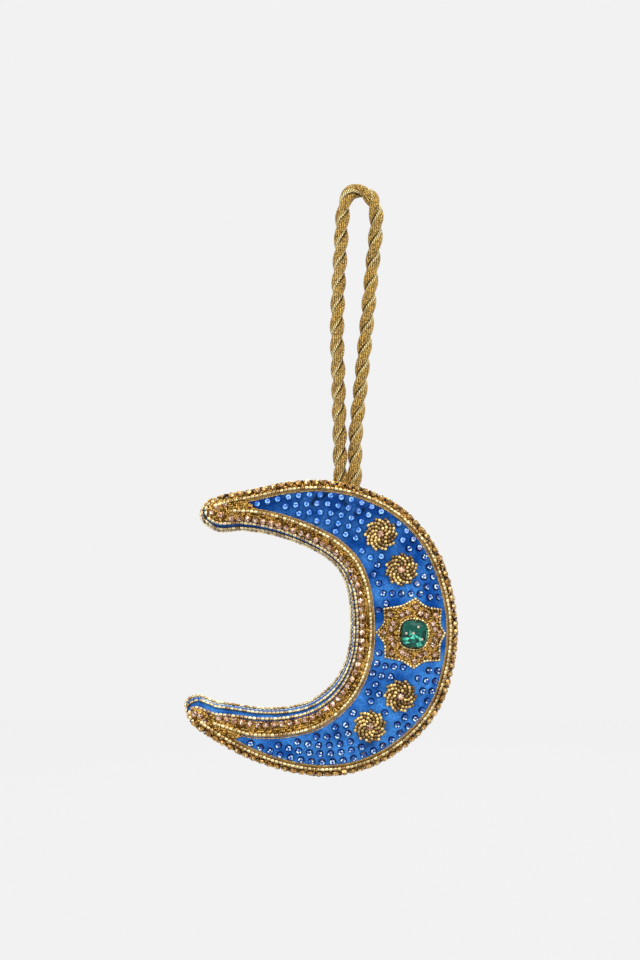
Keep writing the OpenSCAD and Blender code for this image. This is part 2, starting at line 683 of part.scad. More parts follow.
module outer_gusset() {
  color("royalblue")
    in_crescent()
      sheet([for (a = stations) [for (v = band_across) band_point(1, a, v * seam_share(a))]],
            [for (a = stations) [for (v = band_across) band_point(1, a, v * seam_share(a), skin_t)]]);
}
module filling() {
  deep = skin_t + backing_t + 4 * seam_gap;
  color("white")
    in_crescent()
      loft([for (a = stations) concat(
        [for (s = inside(a)) panel_point(-1, a, s, deep)],
        [for (v = [-0.5, 0.5]) band_point(1, a, v, deep)],
        [for (s = back_across) panel_point(1, a, -s * cut_share, deep)],
        [for (v = [0.5, -0.5]) band_point(-1, a, v, deep)])]);
}

// Hand stitches close the back seam where the crescent was stuffed
closing_from = -112;
closing_to = -72;
closing_pitch = 3;
stitch_l = 3 * stitch_r;
module closing_stitches() {
  seam = [for (a = between(closing_from, closing_to)) panel_point(1, a, 1)];
  line = corner_line(seam, 1, 1, stitch_r + seat_gap);
  places = even_points(line, closing_pitch);
  roots = even_points(seam, closing_pitch);
  color("navy")
    in_crescent()
      for (k = [0:len(places) - 1])
        let (out = unit(places[k] - roots[k]))
          aim(places[k], unit(cross(out, cross(out, [0, 1, 0]))))
            translate([0, 0, -stitch_l / 2]) {
              cylinder(h = stitch_l, r = stitch_r, $fn = 16);
              sphere(r = stitch_r, $fn = 16);
              translate([0, 0, stitch_l])
                sphere(r = stitch_r, $fn = 16);
            }
}

// The loop: one cord whose ends stand side by side on the outer seam
function cord_points() =
  let (p = concat([2 * cord_route[0] - cord_route[1]], cord_route,
         [2 * cord_route[len(cord_route) - 1] - cord_route[len(cord_route) - 2]]))
    concat(
      [for (i = [1:len(cord_route) - 1]) for (k = [0:cord_fine - 1])
        let (q = spline(p, i, k / cord_fine)) [q.x, 0, q.y]],
      [[right_end.x, 0, right_end.y]]);
cord_sides = 8;
module hanging_cord() {
  color("darkgoldenrod")
    loft(thread_rings(cord_points(), cord_d / 2, cord_sides));
}
foot_r = bar_r;
bar_l = leg_gap + 2 * foot_r + 5 * stitch_r;
module cord_whipping() {
  color("goldenrod")
    at_root() {
      translate([-bar_l / 2, 0, 0])
        rotate([0, 90, 0])
          cylinder(h = bar_l, r = bar_r, $fn = 32);
      for (side = [-1, 1])
        translate([side * leg_gap / 2, 0, 0])
          cylinder(h = leg_lift, r = foot_r, $fn = 32);
    }
}
module cord_anchor_stitches() {
  room = leg_gap / 2 - foot_r - stitch_r - 2 * bar_gap;
  outside = leg_gap / 2 + foot_r + stitch_r + 2 * bar_gap;
  color("goldenrod")
    at_root()
      for (x = [-outside, -room, 0, room, outside])
        translate([x, 0, 0])
          rotate([0, 90, 0])
            rotate_extrude($fn = 32)
              translate([bar_r + bar_gap + stitch_r, 0])
                circle(r = stitch_r, $fn = 16);
}

front_panel();
embroidery_backing();
back_panel();
inner_gusset();
outer_gusset();
filling();
closing_stitches();
rim_band();
rim_crystals();
rim_seed_row();
rim_thread();
inner_band();
inner_crystals();
inner_seed_row();
inner_thread();
front_seam_seed_row();
bay_seed_row();
back_seam_seed_row();
upper_stones();
belly_stones();
lower_stones();
rosette_1_beads();
rosette_2_beads();
rosette_3_beads();
rosette_4_beads();
rosette_1_heart();
rosette_2_heart();
rosette_3_heart();
rosette_4_heart();
medallion_ground();
medallion_outline();
medallion_crystals();
medallion_ring();
medallion_gem();
gem_stitches();
hanging_cord();
cord_whipping();
cord_anchor_stitches();
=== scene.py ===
import math
import random

import bmesh
import bpy
import numpy as np
from mathutils import Matrix, Vector, noise
from mathutils.bvhtree import BVHTree


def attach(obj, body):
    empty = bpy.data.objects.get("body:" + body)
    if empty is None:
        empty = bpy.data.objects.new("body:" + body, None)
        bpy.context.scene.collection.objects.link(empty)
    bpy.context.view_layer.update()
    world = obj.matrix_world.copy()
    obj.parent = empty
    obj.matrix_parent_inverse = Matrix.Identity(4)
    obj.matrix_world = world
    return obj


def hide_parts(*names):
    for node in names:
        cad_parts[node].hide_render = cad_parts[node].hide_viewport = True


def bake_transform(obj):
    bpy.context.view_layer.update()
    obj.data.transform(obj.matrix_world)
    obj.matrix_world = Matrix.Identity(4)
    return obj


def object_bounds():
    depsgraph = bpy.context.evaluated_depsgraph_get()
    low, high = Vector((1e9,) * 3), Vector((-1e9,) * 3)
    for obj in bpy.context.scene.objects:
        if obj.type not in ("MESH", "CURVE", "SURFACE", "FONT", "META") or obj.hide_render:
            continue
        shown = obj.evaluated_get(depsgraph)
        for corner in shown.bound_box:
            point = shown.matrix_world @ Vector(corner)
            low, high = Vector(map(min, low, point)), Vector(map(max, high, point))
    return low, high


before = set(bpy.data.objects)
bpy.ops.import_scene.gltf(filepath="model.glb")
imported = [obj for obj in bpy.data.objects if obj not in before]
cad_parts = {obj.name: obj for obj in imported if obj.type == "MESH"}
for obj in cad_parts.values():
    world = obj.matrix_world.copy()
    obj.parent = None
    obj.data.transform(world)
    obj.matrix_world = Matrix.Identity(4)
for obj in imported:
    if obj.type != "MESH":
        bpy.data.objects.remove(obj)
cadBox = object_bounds()
mm = 0.001
chance = random.Random(7)
many = np.random.default_rng(7)
print("frame loaded:", len(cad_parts), "nodes")


# Small helpers for meshes and edit mode
def deselectAll():
    bpy.ops.object.select_all(action="DESELECT")


def only(piece):
    # selects the piece alone
    deselectAll()
    piece.select_set(True)
    bpy.context.view_layer.objects.active = piece
    return piece


def meshPiece(name, points, faces):
    mesh = bpy.data.meshes.new(name)
    mesh.from_pydata([tuple(p) for p in points], [], [tuple(int(i) for i in f) for f in faces])
    piece = bpy.data.objects.new(name, mesh)
    bpy.context.scene.collection.objects.link(piece)
    return piece


def gridFaces(rows, cols, closedRows=False, closedCols=False):
    # faces over a grid of points, which may close on itself either way
    return [[k * cols + j, (k + 1) % rows * cols + j,
             (k + 1) % rows * cols + (j + 1) % cols, k * cols + (j + 1) % cols]
            for k in range(rows - (not closedRows)) for j in range(cols - (not closedCols))]


def setValues(piece, name, values, domain="POINT"):
    layer = piece.data.attributes.new(name, "FLOAT", domain)
    layer.data.foreach_set("value", np.asarray(values, np.float32))
    return piece


def pickFaces(test):
    # selects the faces of the mesh in edit mode by their middle and normal
    pickParts("faces", lambda face: test(face.calc_center_median(), face.normal))


def pickParts(kind, test):
    mesh = bpy.context.edit_object.data
    shape = bmesh.from_edit_mesh(mesh)
    for part in (*shape.verts, *shape.edges, *shape.faces):
        part.select = False
    for part in getattr(shape, kind):
        if test(part):
            part.select_set(True)
    bmesh.update_edit_mesh(mesh)


def startEdit():
    bpy.ops.object.mode_set(mode="EDIT")
    bpy.ops.mesh.select_mode(type="FACE")


def endEdit():
    bpy.ops.object.mode_set(mode="OBJECT")
    return bpy.context.object


def pushFaces(grow, move):
    # extrudes the picked faces, then resizes them about the origin and moves them
    bpy.ops.mesh.extrude_region_move()
    bpy.ops.transform.resize(value=grow, center_override=(0, 0, 0))
    bpy.ops.transform.translate(value=move)


def turnFacesOut(piece):
    only(piece)
    startEdit()
    bpy.ops.mesh.select_all(action="SELECT")
    bpy.ops.mesh.normals_make_consistent(inside=False)
    return endEdit()


def pattern(piece):
    # the points and faces of a finished small shape, to be copied; the shape itself is removed
    points = np.array([v.co for v in piece.data.vertices])
    faces = [list(p.vertices) for p in piece.data.polygons]
    bpy.data.objects.remove(piece)
    return points, faces


def copies(name, shape, spots, fire=None, glow=(0, 0, 0)):
    # one mesh with a copy of the shape at each spot: its place, where its X and Z axes point, and its size
    # fire gives how bright a facet may be painted by its middle, and glow a direction whose facets are
    # painted brighter; the facet values are painted reflections
    points, faces = shape
    middles = np.array([points[face].mean(0) for face in faces])
    weights = np.array([fire(m) if fire else 1.0 for m in middles])
    allPoints, allFaces, facets = [], [], []
    for place, across, up, size in spots:
        first = len(allPoints) * len(points)
        axes = np.array([across, np.cross(up, across), up])
        allPoints.append((points * np.array(size)) @ axes + np.array(place))
        allFaces += [[first + i for i in face] for face in faces]
        toward = np.maximum(0, (middles * [1, 1, 0]) @ axes @ np.array(glow))
        facets.append(weights * (many.random(len(faces)) + toward))
    piece = meshPiece(name, np.concatenate(allPoints), allFaces)
    setValues(piece, "tint", np.repeat(many.random(len(spots)), len(points)))
    return setValues(piece, "facet", np.concatenate(facets), "FACE")


def smooth(piece, angle=None):
    only(piece)
    if angle is None:
        bpy.ops.object.shade_smooth()
    else:
        bpy.ops.object.shade_smooth_by_angle(angle=math.radians(angle))
    return piece


def applyAll(piece):
    for modifier in list(only(piece).modifiers):
        bpy.ops.object.modifier_apply(modifier=modifier.name)
    return piece


def thicken(piece, thickness):
    thick = piece.modifiers.new("thickness", "SOLIDIFY")
    thick.thickness, thick.offset = thickness * mm, -1
    return smooth(applyAll(piece), 60)


def finishPiece(piece, slotName, finish, *replaced, body="crescent"):
    piece.data.materials.clear()
    piece.data.materials.append(finish)
    if body:
        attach(piece, body)
    if replaced:
        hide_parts(*replaced)


# Helpers for node materials
def put(tree, kind, sockets=None, **settings):
    made = tree.nodes.new("ShaderNode" + kind)
    for key, value in settings.items():
        setattr(made, key, value)
    for key, value in (sockets or {}).items():
        if isinstance(value, bpy.types.NodeSocket):
            tree.links.new(value, made.inputs[key])
        else:
            made.inputs[key].default_value = value
    return made


def calc(tree, operation, *values, **settings):
    return put(tree, "Math", dict(enumerate(values)), operation=operation, **settings).outputs[0]


def ranged(tree, value, low, high, newLow=0.0, newHigh=1.0):
    return put(tree, "MapRange", {"Value": value, "From Min": low, "From Max": high,
                                  "To Min": newLow, "To Max": newHigh}).outputs[0]


def mixed(tree, factor, first, second, **settings):
    return put(tree, "Mix", {"Factor": factor, 6: first, 7: second}, data_type="RGBA", **settings).outputs[2]


def attribute(tree, name):
    return put(tree, "Attribute", attribute_name=name).outputs["Fac"]


def objectPlace(tree):
    return put(tree, "TexCoord").outputs["Object"]


def noiseAt(tree, scale, detail):
    sockets = {"Vector": objectPlace(tree), "Scale": scale, "Detail": detail}
    return put(tree, "TexNoise", sockets).outputs["Fac"]


def bumped(tree, height, strength, distance):
    return put(tree, "Bump", {"Height": height, "Strength": strength, "Distance": distance}).outputs[0]


def feed(tree, sockets, **values):
    for label, value in values.items():
        tree.links.new(value, sockets[label.replace("_", " ")])


def newGroup(name, inputs, *outputs):
    # inputs by their first values; Color is a colour and every other output a number
    group = bpy.data.node_groups.new(name, "ShaderNodeTree")
    for label, value in inputs.items():
        kind = "Float" if isinstance(value, float) else "Color"
        socket = group.interface.new_socket(label, in_out="INPUT", socket_type="NodeSocket" + kind)
        socket.default_value = value
    for label in outputs:
        kind = "Color" if label == "Color" else "Float"
        group.interface.new_socket(label, in_out="OUTPUT", socket_type="NodeSocket" + kind)
    return group, group.nodes.new("NodeGroupInput").outputs, group.nodes.new("NodeGroupOutput").inputs


def useGroup(tree, group, sockets):
    return put(tree, "Group", sockets, node_tree=group).outputs


def newFinish(name, **constants):
    finish = bpy.data.materials.new(name)
    finish.use_nodes = True
    tree = finish.node_tree
    shader = tree.nodes["Principled BSDF"]
    for key, value in constants.items():
        shader.inputs[key.replace("_", " ")].default_value = value
    return finish, tree, shader.inputs


def colour(red, green, blue):
    # an sRGB colour of 0 to 255 as the linear colour that a socket takes
    linear = [((c / 255 + 0.055) / 1.055) ** 2.4 if c > 10 else c / 255 / 12.92 for c in (red, green, blue)]
    return (*linear, 1)


# Camera: level with the middle of the ornament, straight in front, as in the photograph
camera = {"place": (-0.01306, -0.650, -0.1044), "lens": 65.36}
bpy.ops.object.camera_add(location=camera["place"], rotation=(math.radians(90), 0, 0))
bpy.context.scene.camera = bpy.context.object
bpy.context.object.data.lens = camera["lens"]
bpy.context.object.data.sensor_width = 36

# Hanging cord: two strands laid round each other, each wrapped in fine metallic thread
cord = {
    "route": [[-4.9, -106.6], [-5.2, -104], [-5.5, -101.5], [-5.6, -96], [-5.7, -88], [-6.0, -76],
              [-6.3, -64], [-6.7, -50], [-6.4, -38], [-5.8, -26], [-5.2, -16], [-4.8, -8], [-4.2, -3.2],
              [-3.2, 0.5], [-1.8, 2.6], [0, 3.3], [2.4, 3.3], [4.9, 2.0], [6.9, -0.7], [7.8, -4.6],
              [7.9, -9], [7.3, -17], [6.3, -26], [5.4, -36], [4.4, -46], [3.2, -58], [2.0, -70],
              [0.9, -80], [0.2, -88], [0, -96], [-0.1, -102.7], [-0.3, -105.2], [-0.5, -107.8]],
    "diameter": 5.6, "strandShare": 0.33, "sides": 24, "step": 0.2,
    "ribPitch": 1.5, "ribDepth": 0.12, "ribSlant": 2, "crossingPitch": 8.1,
    # where one strand passes over the other round the top, as x and z
    "crossings": [[-5.9, -18.6], [-4.9, -10.2], [-4.1, -2.7], [3.6, 2.6], [7.2, -1.7], [7.9, -9.7],
                  [7.2, -18.2]],
}


def between(a, b, c, d, t):
    # a smooth curve from b to c, which runs on from a and towards d
    return (2 * b + (c - a) * t + (2 * a - 5 * b + 4 * c - d) * t ** 2
            + (3 * b - a - 3 * c + d) * t ** 3) / 2


def spline(points, steps):
    # a smooth line through points, with the same number of steps between each two
    p = np.array(points, float)
    p = np.concatenate([[2 * p[0] - p[1]], p, [2 * p[-1] - p[-2]]])
    line = [between(*p[k - 1:k + 3], t) for k in range(1, len(p) - 2) for t in np.arange(steps) / steps]
    return np.array(line + [p[-2]])


def evenLine(line, step):
    along = np.concatenate([[0], np.cumsum(np.linalg.norm(np.diff(line, axis=0), axis=1))])
    at = np.linspace(0, along[-1], max(2, int(along[-1] / step) + 1))
    return np.stack([np.interp(at, along, line[:, k]) for k in range(line.shape[1])], axis=1), at


def unit(v):
    return v / np.maximum(np.linalg.norm(v, axis=-1, keepdims=True), 1e-12)


def layStrands(name, line, along, turns, upright, count, lay, radius, sides, rib=None):
    # strands round a line; turns and upright are the turns so far and a direction off the line at each point
    tangent = unit(np.gradient(line, axis=0))
    side = unit(np.cross(upright, tangent))
    up = np.cross(tangent, side)
    points, faces, uvs = [], [], []
    for strand in range(count):
        phase = 2 * np.pi * (turns + strand / count)
        outward = np.cos(phase)[:, None] * side + np.sin(phase)[:, None] * up
        middle = line + lay * outward
        run = unit(np.gradient(middle, axis=0))
        across = np.cross(run, outward)
        n = len(line)
        first = len(points) * n
        for k in range(sides):
            angle = 2 * np.pi * k / sides
            r = np.full(n, radius)
            if rib:
                wave = np.cos(2 * np.pi * (along / rib["pitch"] + rib["slant"] * k / sides))
                r = r - rib["depth"] * (1 - np.abs(wave) ** 0.7)
            points.append(middle + r[:, None] * (math.cos(angle) * outward + math.sin(angle) * across))
        faces += [[first + i for i in face] for face in gridFaces(sides, n, closedRows=True)]
        uvs += [[(along[i], k / sides), (along[i], (k + 1) / sides), (along[i + 1], (k + 1) / sides),
                 (along[i + 1], k / sides)] for k in range(sides) for i in range(n - 1)]
        for end in (0, n - 1):
            ring = [first + k * n + end for k in range(sides)]
            faces.append(ring if end else ring[::-1])
            uvs.append([(along[end], k / sides) for k in range(sides)])
    piece = meshPiece(name, np.concatenate(points), faces)
    layer = piece.data.uv_layers.new(name="UVMap")
    layer.data.foreach_set("uv", np.array([c for face in uvs for c in face], np.float32).ravel())
    return smooth(piece)


route, cordAlong = evenLine(spline(cord["route"], 12), cord["step"])
cordLine = np.stack([route[:, 0], np.zeros(len(route)), route[:, 1]], axis=1)
cordRadius = cord["strandShare"] * cord["diameter"]


def strandTurns():
    # half a turn from each crossing to the next: as listed round the top, evenly spaced down the legs
    at = [cordAlong[np.argmin(np.linalg.norm(route - spot, axis=1))] for spot in np.array(cord["crossings"])]
    pitch = cord["crossingPitch"]
    before = list(np.arange(at[0] - pitch, -pitch, -pitch))[::-1]
    after = list(np.arange(at[-1] + pitch, cordAlong[-1] + pitch, pitch))
    knots = before + at + after
    return np.interp(cordAlong, knots, 0.25 + 0.5 * np.arange(len(knots)))


hangingCord = layStrands(
    "twisted_cord", cordLine * mm, cordAlong * mm, strandTurns(), np.array([0, 1.0, 0]), 2,
    (cord["diameter"] / 2 - cordRadius) * mm, cordRadius * mm, cord["sides"],
    {"pitch": cord["ribPitch"] * mm, "depth": cord["ribDepth"] * mm, "slant": cord["ribSlant"]})
print("cord laid:", round(cordAlong[-1]), "mm long")

# The crescent's form, in millimetres and degrees, as the solids have it
crescent = {
    "middle": (-24.4819, -158.201), "spineRadius": 43.7, "bellyWidth": 34.6, "edgeDepth": 11,
    "crown": 4.2, "slantShare": 0.2, "swellShare": 0.045, "skin": 0.8, "backing": 0.4,
    "innerBorder": 5.8, "rimBorder": 2.3, "shareFrom": -165, "shareStep": 15,
    "spineShares": [1.10, 1.09, 1.087, 1.013, 0.990, 0.996, 1.023, 1.038, 1.038, 1.031, 1.005, 0.992,
                    0.992, 1.011, 1.021, 1.005, 0.988, 0.988, 1.025, 1.118, 1.20, 1.28],
    "widthShares": [0.06, 0.09, 0.13, 0.278, 0.394, 0.516, 0.651, 0.784, 0.891, 0.979, 0.996, 1.0,
                    0.968, 0.916, 0.829, 0.728, 0.621, 0.482, 0.336, 0.248, 0.22, 0.2],
    "tipUp": 126.2, "tipLow": -138.8, "tipUpRound": 4.6, "tipLowRound": 2.8, "tipSlantShare": 1.15,
    "tipDepthShare": 0.62, "crownPower": 0.8, "lowBorderShare": 0.25,
}
slant = crescent["slantShare"] * crescent["edgeDepth"]
backStretch = 1 + (crescent["tipSlantShare"] * slant / crescent["spineRadius"] * 180 / math.pi
                   / crescent["tipUp"])
halfDepth = crescent["edgeDepth"] / 2


def mix(a, b, t):
    return a + (b - a) * t


def shareAt(shares, angle):
    u = (angle - crescent["shareFrom"]) / crescent["shareStep"]
    i = np.clip(np.floor(u).astype(int), 1, len(shares) - 3)
    t = u - i
    p = np.array(shares)
    return between(p[i - 1], p[i], p[i + 1], p[i + 2], t)


def endRound(angle):
    up = np.maximum(0, (angle - crescent["tipUp"] + crescent["tipUpRound"]) / crescent["tipUpRound"])
    low = np.maximum(0, (crescent["tipLow"] + crescent["tipLowRound"] - angle) / crescent["tipLowRound"])
    return np.sqrt(np.maximum(0, 1 - np.maximum(up, low) ** 2))


def reach(face, angle):
    return slant * endRound(angle) if face > 0 else 0 * angle


def midRadius(face, angle):
    return crescent["spineRadius"] * shareAt(crescent["spineShares"], angle) - reach(face, angle) / 2


def halfWidth(face, angle):
    share = shareAt(crescent["widthShares"], angle) * endRound(angle)
    return crescent["bellyWidth"] / 2 * share + reach(face, angle) / 2


def edgeHalf(angle):
    share = np.sqrt(np.maximum(0, shareAt(crescent["widthShares"], angle)))
    return halfDepth * mix(crescent["tipDepthShare"], 1, share)


def shrunk(depth):
    # how much smaller the form is at a depth: along it, across it and from front to back
    return (1 - depth / crescent["spineRadius"] / math.radians(crescent["tipUp"]),
            1 - 2 * depth / crescent["bellyWidth"], 1 - depth / (halfDepth + crescent["crown"]))


def polar(r, degrees):
    turn = np.radians(degrees)
    return r * np.cos(turn), r * np.sin(turn)


def roundMiddle(radius, y, turn):
    return np.stack(np.broadcast_arrays(radius * np.cos(turn), y, radius * np.sin(turn)), axis=-1)


def panelPoint(face, angle, across, depth=0.0):
    # the outside of a panel, or a depth under it; across is -1 at the inner seam and 1 at the outer
    angle, across = np.asarray(angle, float), np.asarray(across, float)
    shorter, narrower, flatter = shrunk(depth)
    turn = np.radians(angle * shorter * (backStretch if face > 0 else 1))
    r = midRadius(face, angle) + across * halfWidth(face, angle) * narrower
    swell = crescent["crown"] * shareAt(crescent["widthShares"], angle) * endRound(angle)
    y = face * (edgeHalf(angle) + swell * np.maximum(0, 1 - across ** 2) ** crescent["crownPower"])
    return roundMiddle(r, y * flatter, turn)


def bandPoint(side, angle, v, depth=0.0):
    # a side band: side is -1 on the bay and 1 outside, and v runs from -1 in front to 1 behind
    angle, v = np.asarray(angle, float), np.asarray(v, float)
    t = (v + 1) / 2
    shorter, narrower, flatter = shrunk(depth)
    front, back = (midRadius(face, angle) + side * halfWidth(face, angle) * narrower for face in (-1, 1))
    swell = side * crescent["swellShare"] * crescent["edgeDepth"] * endRound(angle)
    turn = np.radians(angle * shorter * mix(1, backStretch, t))
    return roundMiddle(mix(front, back, t) + swell * (1 - v * v), v * edgeHalf(angle) * flatter, turn)


def coverPoint(side, angle, across):
    # on the front panel, or with a side on that side band
    return bandPoint(side, angle, across) if side else panelPoint(-1, angle, across)


def coverNormal(side, angle, across):
    s = np.clip(across, -0.97, 0.97)
    along = coverPoint(side, angle + 0.5, s) - coverPoint(side, angle - 0.5, s)
    over = coverPoint(side, angle, s + 0.02) - coverPoint(side, angle, s - 0.02)
    return -(side or 1) * unit(np.cross(along, over))


def panelNormal(angle, across):
    # outward from the front panel
    return coverNormal(0, angle, across)


def inRow(points):
    # from millimetres round the crescent's middle to metres in the row frame
    return (np.asarray(points) + np.array([crescent["middle"][0], 0, crescent["middle"][1]])) * mm


def onFront(x, z, lift=0.0):
    angle = np.degrees(np.arctan2(z, x))
    s = (np.hypot(x, z) - midRadius(-1, angle)) / halfWidth(-1, angle)
    normal = panelNormal(angle, s)
    return panelPoint(-1, angle, s) + lift * normal, normal


def innerBorder(angle):
    wider = 1 + crescent["lowBorderShare"] * np.maximum(0, -angle) / -crescent["tipLow"]
    return np.minimum(crescent["innerBorder"] * wider, 1.15 * halfWidth(-1, angle))


def stationAngles(tipSteps, runSteps, endShare):
    # even from tip to tip, and closer and closer over their round ends
    rise = 1 - endShare * np.cos(np.radians(90 * np.arange(tipSteps) / tipSteps))
    lowEnd, upEnd = crescent["tipLow"] + crescent["tipLowRound"], crescent["tipUp"] - crescent["tipUpRound"]
    return np.concatenate([crescent["tipLow"] + crescent["tipLowRound"] * rise,
                           np.linspace(lowEnd, upEnd, runSteps),
                           crescent["tipUp"] - crescent["tipUpRound"] * rise[::-1]])


# Where the star medallion and the rosettes are sewn on
medallion = {
    "angle": -3.4, "clear": 0.15, "reach": 13.4632, "dip": 0.16, "ground": 0.6, "chipStep": 0.7,
    "chipLift": 0.22, "chipInset": 1.25, "chipWander": 20, "ringShare": 0.85, "farShare": 1.08,
    "tipAngles": [0, 41, 87, 139, 178, 220, 270, 314, 360],
    "tipShares": [0.88, 1.02, 0.99, 1.07, 1.02, 1.02, 0.955, 1.04, 0.88],
    "inset": 0.6, "gemRoom": 5.0,
}
centreRadius = (midRadius(-1, medallion["angle"]) - halfWidth(-1, medallion["angle"])
                + innerBorder(medallion["angle"]) + medallion["clear"]
                + medallion["tipShares"][4] * medallion["reach"])
medallionX, medallionZ = polar(centreRadius, medallion["angle"])


def starReach(angle):
    angle = np.asarray(angle, float) % 360
    tips = np.array(medallion["tipAngles"], float)
    i = np.clip(np.searchsorted(tips, angle, side="right") - 1, 0, 7)
    t = (angle - tips[i]) / (tips[i + 1] - tips[i])
    shares = np.array(medallion["tipShares"])
    return medallion["reach"] * mix(shares[i], shares[i + 1], t) * (1 - medallion["dip"] * np.sin(np.pi * t))


rosette = {
    "angles": [45, 26.8, -31.9, -50.9], "acrossShares": [0.583, 0.536, 0.557, 0.507],
    "arms": 10, "first": 1.5, "last": 6.15, "pitch": 1.26, "seed": 1.26, "wide": 1.32, "edge": 2.92,
    "ground": 5.2, "groundHeight": 0.45, "lift": 0.2, "turnEach": 0.3, "stepsEach": 8,
}


def rosettePlace(i):
    a = rosette["angles"][i]
    low = midRadius(-1, a) - halfWidth(-1, a) + innerBorder(a)
    high = midRadius(-1, a) + halfWidth(-1, a) - rosette["edge"]
    return polar(mix(low, high, rosette["acrossShares"][i]), a)


# Velvet: four cut pieces that meet at the seams, over stuffing that pulls and creases them
velvet = {
    "stations": (16, 420, 0.999), "across": 76, "atSeams": 0.35, "band": 12,
    # the cloth simulation: pressure of the stuffing, how much larger the cloth is cut, how far it may move
    "everyRow": 3, "everyColumn": 2, "pressure": 4.0, "slack": 0.03, "frames": 20, "mostMove": 0.35,
    "smoothing": 3,
    # creases as lines from x, z to x, z round the crescent's middle, with width and depth
    "creases": [(11.6, 49.3, 7.8, 43.7, 0.9, 0.9), (15.4, 49.7, 9.3, 45.9, 0.8, 0.7),
                (22.9, 40.3, 28.9, 43.7, 0.8, 0.8), (19.5, 47.5, 22.5, 41.5, 0.9, 0.6),
                (33.5, 33.0, 38.5, 36.0, 0.9, 0.4), (33.0, -42.0, 39.5, -33.5, 1.6, 0.2),
                (24.0, -45.5, 32.0, -43.5, 1.3, 0.35)],
}


def creases(points, face):
    # how far the creases move the velvet, in millimetres, and how deep in one it lies, for the painted shade
    # in the creases
    flat = points.reshape(-1, 3)
    rise, foldShade = np.zeros(len(flat)), np.zeros(len(flat))
    for x0, z0, x1, z1, width, depth in velvet["creases"] if face < 0 else []:
        start, run = np.array([x0, z0]), np.array([x1 - x0, z1 - z0])
        t = np.clip((flat[:, [0, 2]] - start) @ run / (run @ run), 0, 1)
        off = np.linalg.norm(flat[:, [0, 2]] - start - t[:, None] * run, axis=1)
        fade = np.sin(np.pi * np.clip(t, 0.05, 0.95))
        rise += depth * fade * (0.6 * np.exp(-(off / width / 2) ** 2) - np.exp(-(off / width) ** 2))
        foldShade += depth * fade * np.exp(-(off / width) ** 2)
    return rise.reshape(points.shape[:-1]), foldShade


def sheetPiece(name, grid, outward):
    # a sheet through a grid of points, with its faces turned outward
    rows, cols = grid.shape[:2]
    piece = meshPiece(name, inRow(grid).reshape(-1, 3), gridFaces(rows, cols))
    if sum(p.normal.dot(Vector(outward)) * p.area for p in piece.data.polygons) < 0:
        piece.data.flip_normals()
    layer = piece.data.uv_layers.new(name="UVMap")
    for loop in piece.data.loops:
        k, j = divmod(loop.vertex_index, cols)
        layer.data[loop.index].uv = (k / rows, j / cols)
    return piece


def sewnDown(grid, angles, across):
    # true where the front panel is held flat by the borders and the motifs sewn through it
    x, z = grid[..., 0], grid[..., 2]
    held = (across < -1 + innerBorder(angles) / halfWidth(-1, angles))
    held |= across > 1 - crescent["rimBorder"] / np.maximum(halfWidth(-1, angles), 0.1)
    toStar = np.degrees(np.arctan2(z - medallionZ, x - medallionX))
    held |= np.hypot(x - medallionX, z - medallionZ) < starReach(toStar)
    for i in range(4):
        heartX, heartZ = rosettePlace(i)
        held |= np.hypot(x - heartX, z - heartZ) < rosette["ground"]
    return held


def settled(grid, face):
    # cloth simulation of a panel, cut with slack, pressed from inside and held where it is sewn down
    rows, cols = grid.shape[:2]
    rowsAt = np.linspace(0, rows - 1, rows // velvet["everyRow"]).round().astype(int)
    colsAt = np.linspace(0, cols - 1, cols // velvet["everyColumn"]).round().astype(int)
    coarse = grid[rowsAt][:, colsAt]
    sheet = sheetPiece("cloth_sheet", coarse, (0, face, 0))
    held = np.zeros(coarse.shape[:2], bool)
    held[:3], held[-3:], held[:, 0], held[:, -1] = True, True, True, True
    if face < 0:
        held |= sewnDown(coarse, stations[rowsAt][:, None], seamShare[colsAt][None, :])
    group = sheet.vertex_groups.new(name="held")
    group.add([int(i) for i in np.flatnonzero(held.ravel())], 1.0, "REPLACE")
    cloth = sheet.modifiers.new("cloth", "CLOTH")
    cloth.settings.vertex_group_mass = "held"
    cloth.settings.use_pressure = True
    cloth.settings.uniform_pressure_force = velvet["pressure"]
    cloth.settings.shrink_min = -velvet["slack"]
    cloth.settings.effector_weights.gravity = 0
    for moment in range(1, velvet["frames"] + 1):
        bpy.context.scene.frame_set(moment)
    shape = sheet.evaluated_get(bpy.context.evaluated_depsgraph_get()).to_mesh()
    moved = np.array([v.co.y for v in shape.vertices]) / mm
    bpy.data.objects.remove(sheet)
    bpy.context.scene.frame_set(1)
    rise = face * (moved.reshape(coarse.shape[:2]) - coarse[..., 1])
    print("cloth settled, most moved:", round(float(np.abs(rise).max()), 2), "mm")
    rise = velvet["mostMove"] * np.tanh(rise / velvet["mostMove"])
    fine = np.stack([np.interp(np.arange(rows), rowsAt, line) for line in rise.T], axis=1)
    fine = np.stack([np.interp(np.arange(cols), colsAt, line) for line in fine])
    for turn in range(velvet["smoothing"]):
        fine[1:-1] = (fine[:-2] + 2 * fine[1:-1] + fine[2:]) / 4
        fine[:, 1:-1] = (fine[:, :-2] + 2 * fine[:, 1:-1] + fine[:, 2:]) / 4
    return fine


stations = stationAngles(*velvet["stations"])
# the columns stand closer together towards the seams
seamShare = (np.sin(np.linspace(-90, 90, velvet["across"]) * np.pi / 180) * velvet["atSeams"]
             + np.linspace(-1, 1, velvet["across"]) * (1 - velvet["atSeams"]))


def panelGrid(face, depth=0.0, cut=1.0):
    return panelPoint(face, stations[:, None], seamShare[None, :] * cut, depth)


def bandGrid(side, depth=0.0):
    return bandPoint(side, stations[:, None], np.linspace(-1, 1, velvet["band"])[None, :], depth)


def puckered(face):
    grid = panelGrid(face)
    fade = np.minimum(1, (1 - np.abs(np.linspace(-1, 1, grid.shape[1]))) * 8)[None, :]
    rise, foldShade = creases(grid, face)
    grid[..., 1] += face * (rise + settled(grid, face)) * fade
    return grid, foldShade


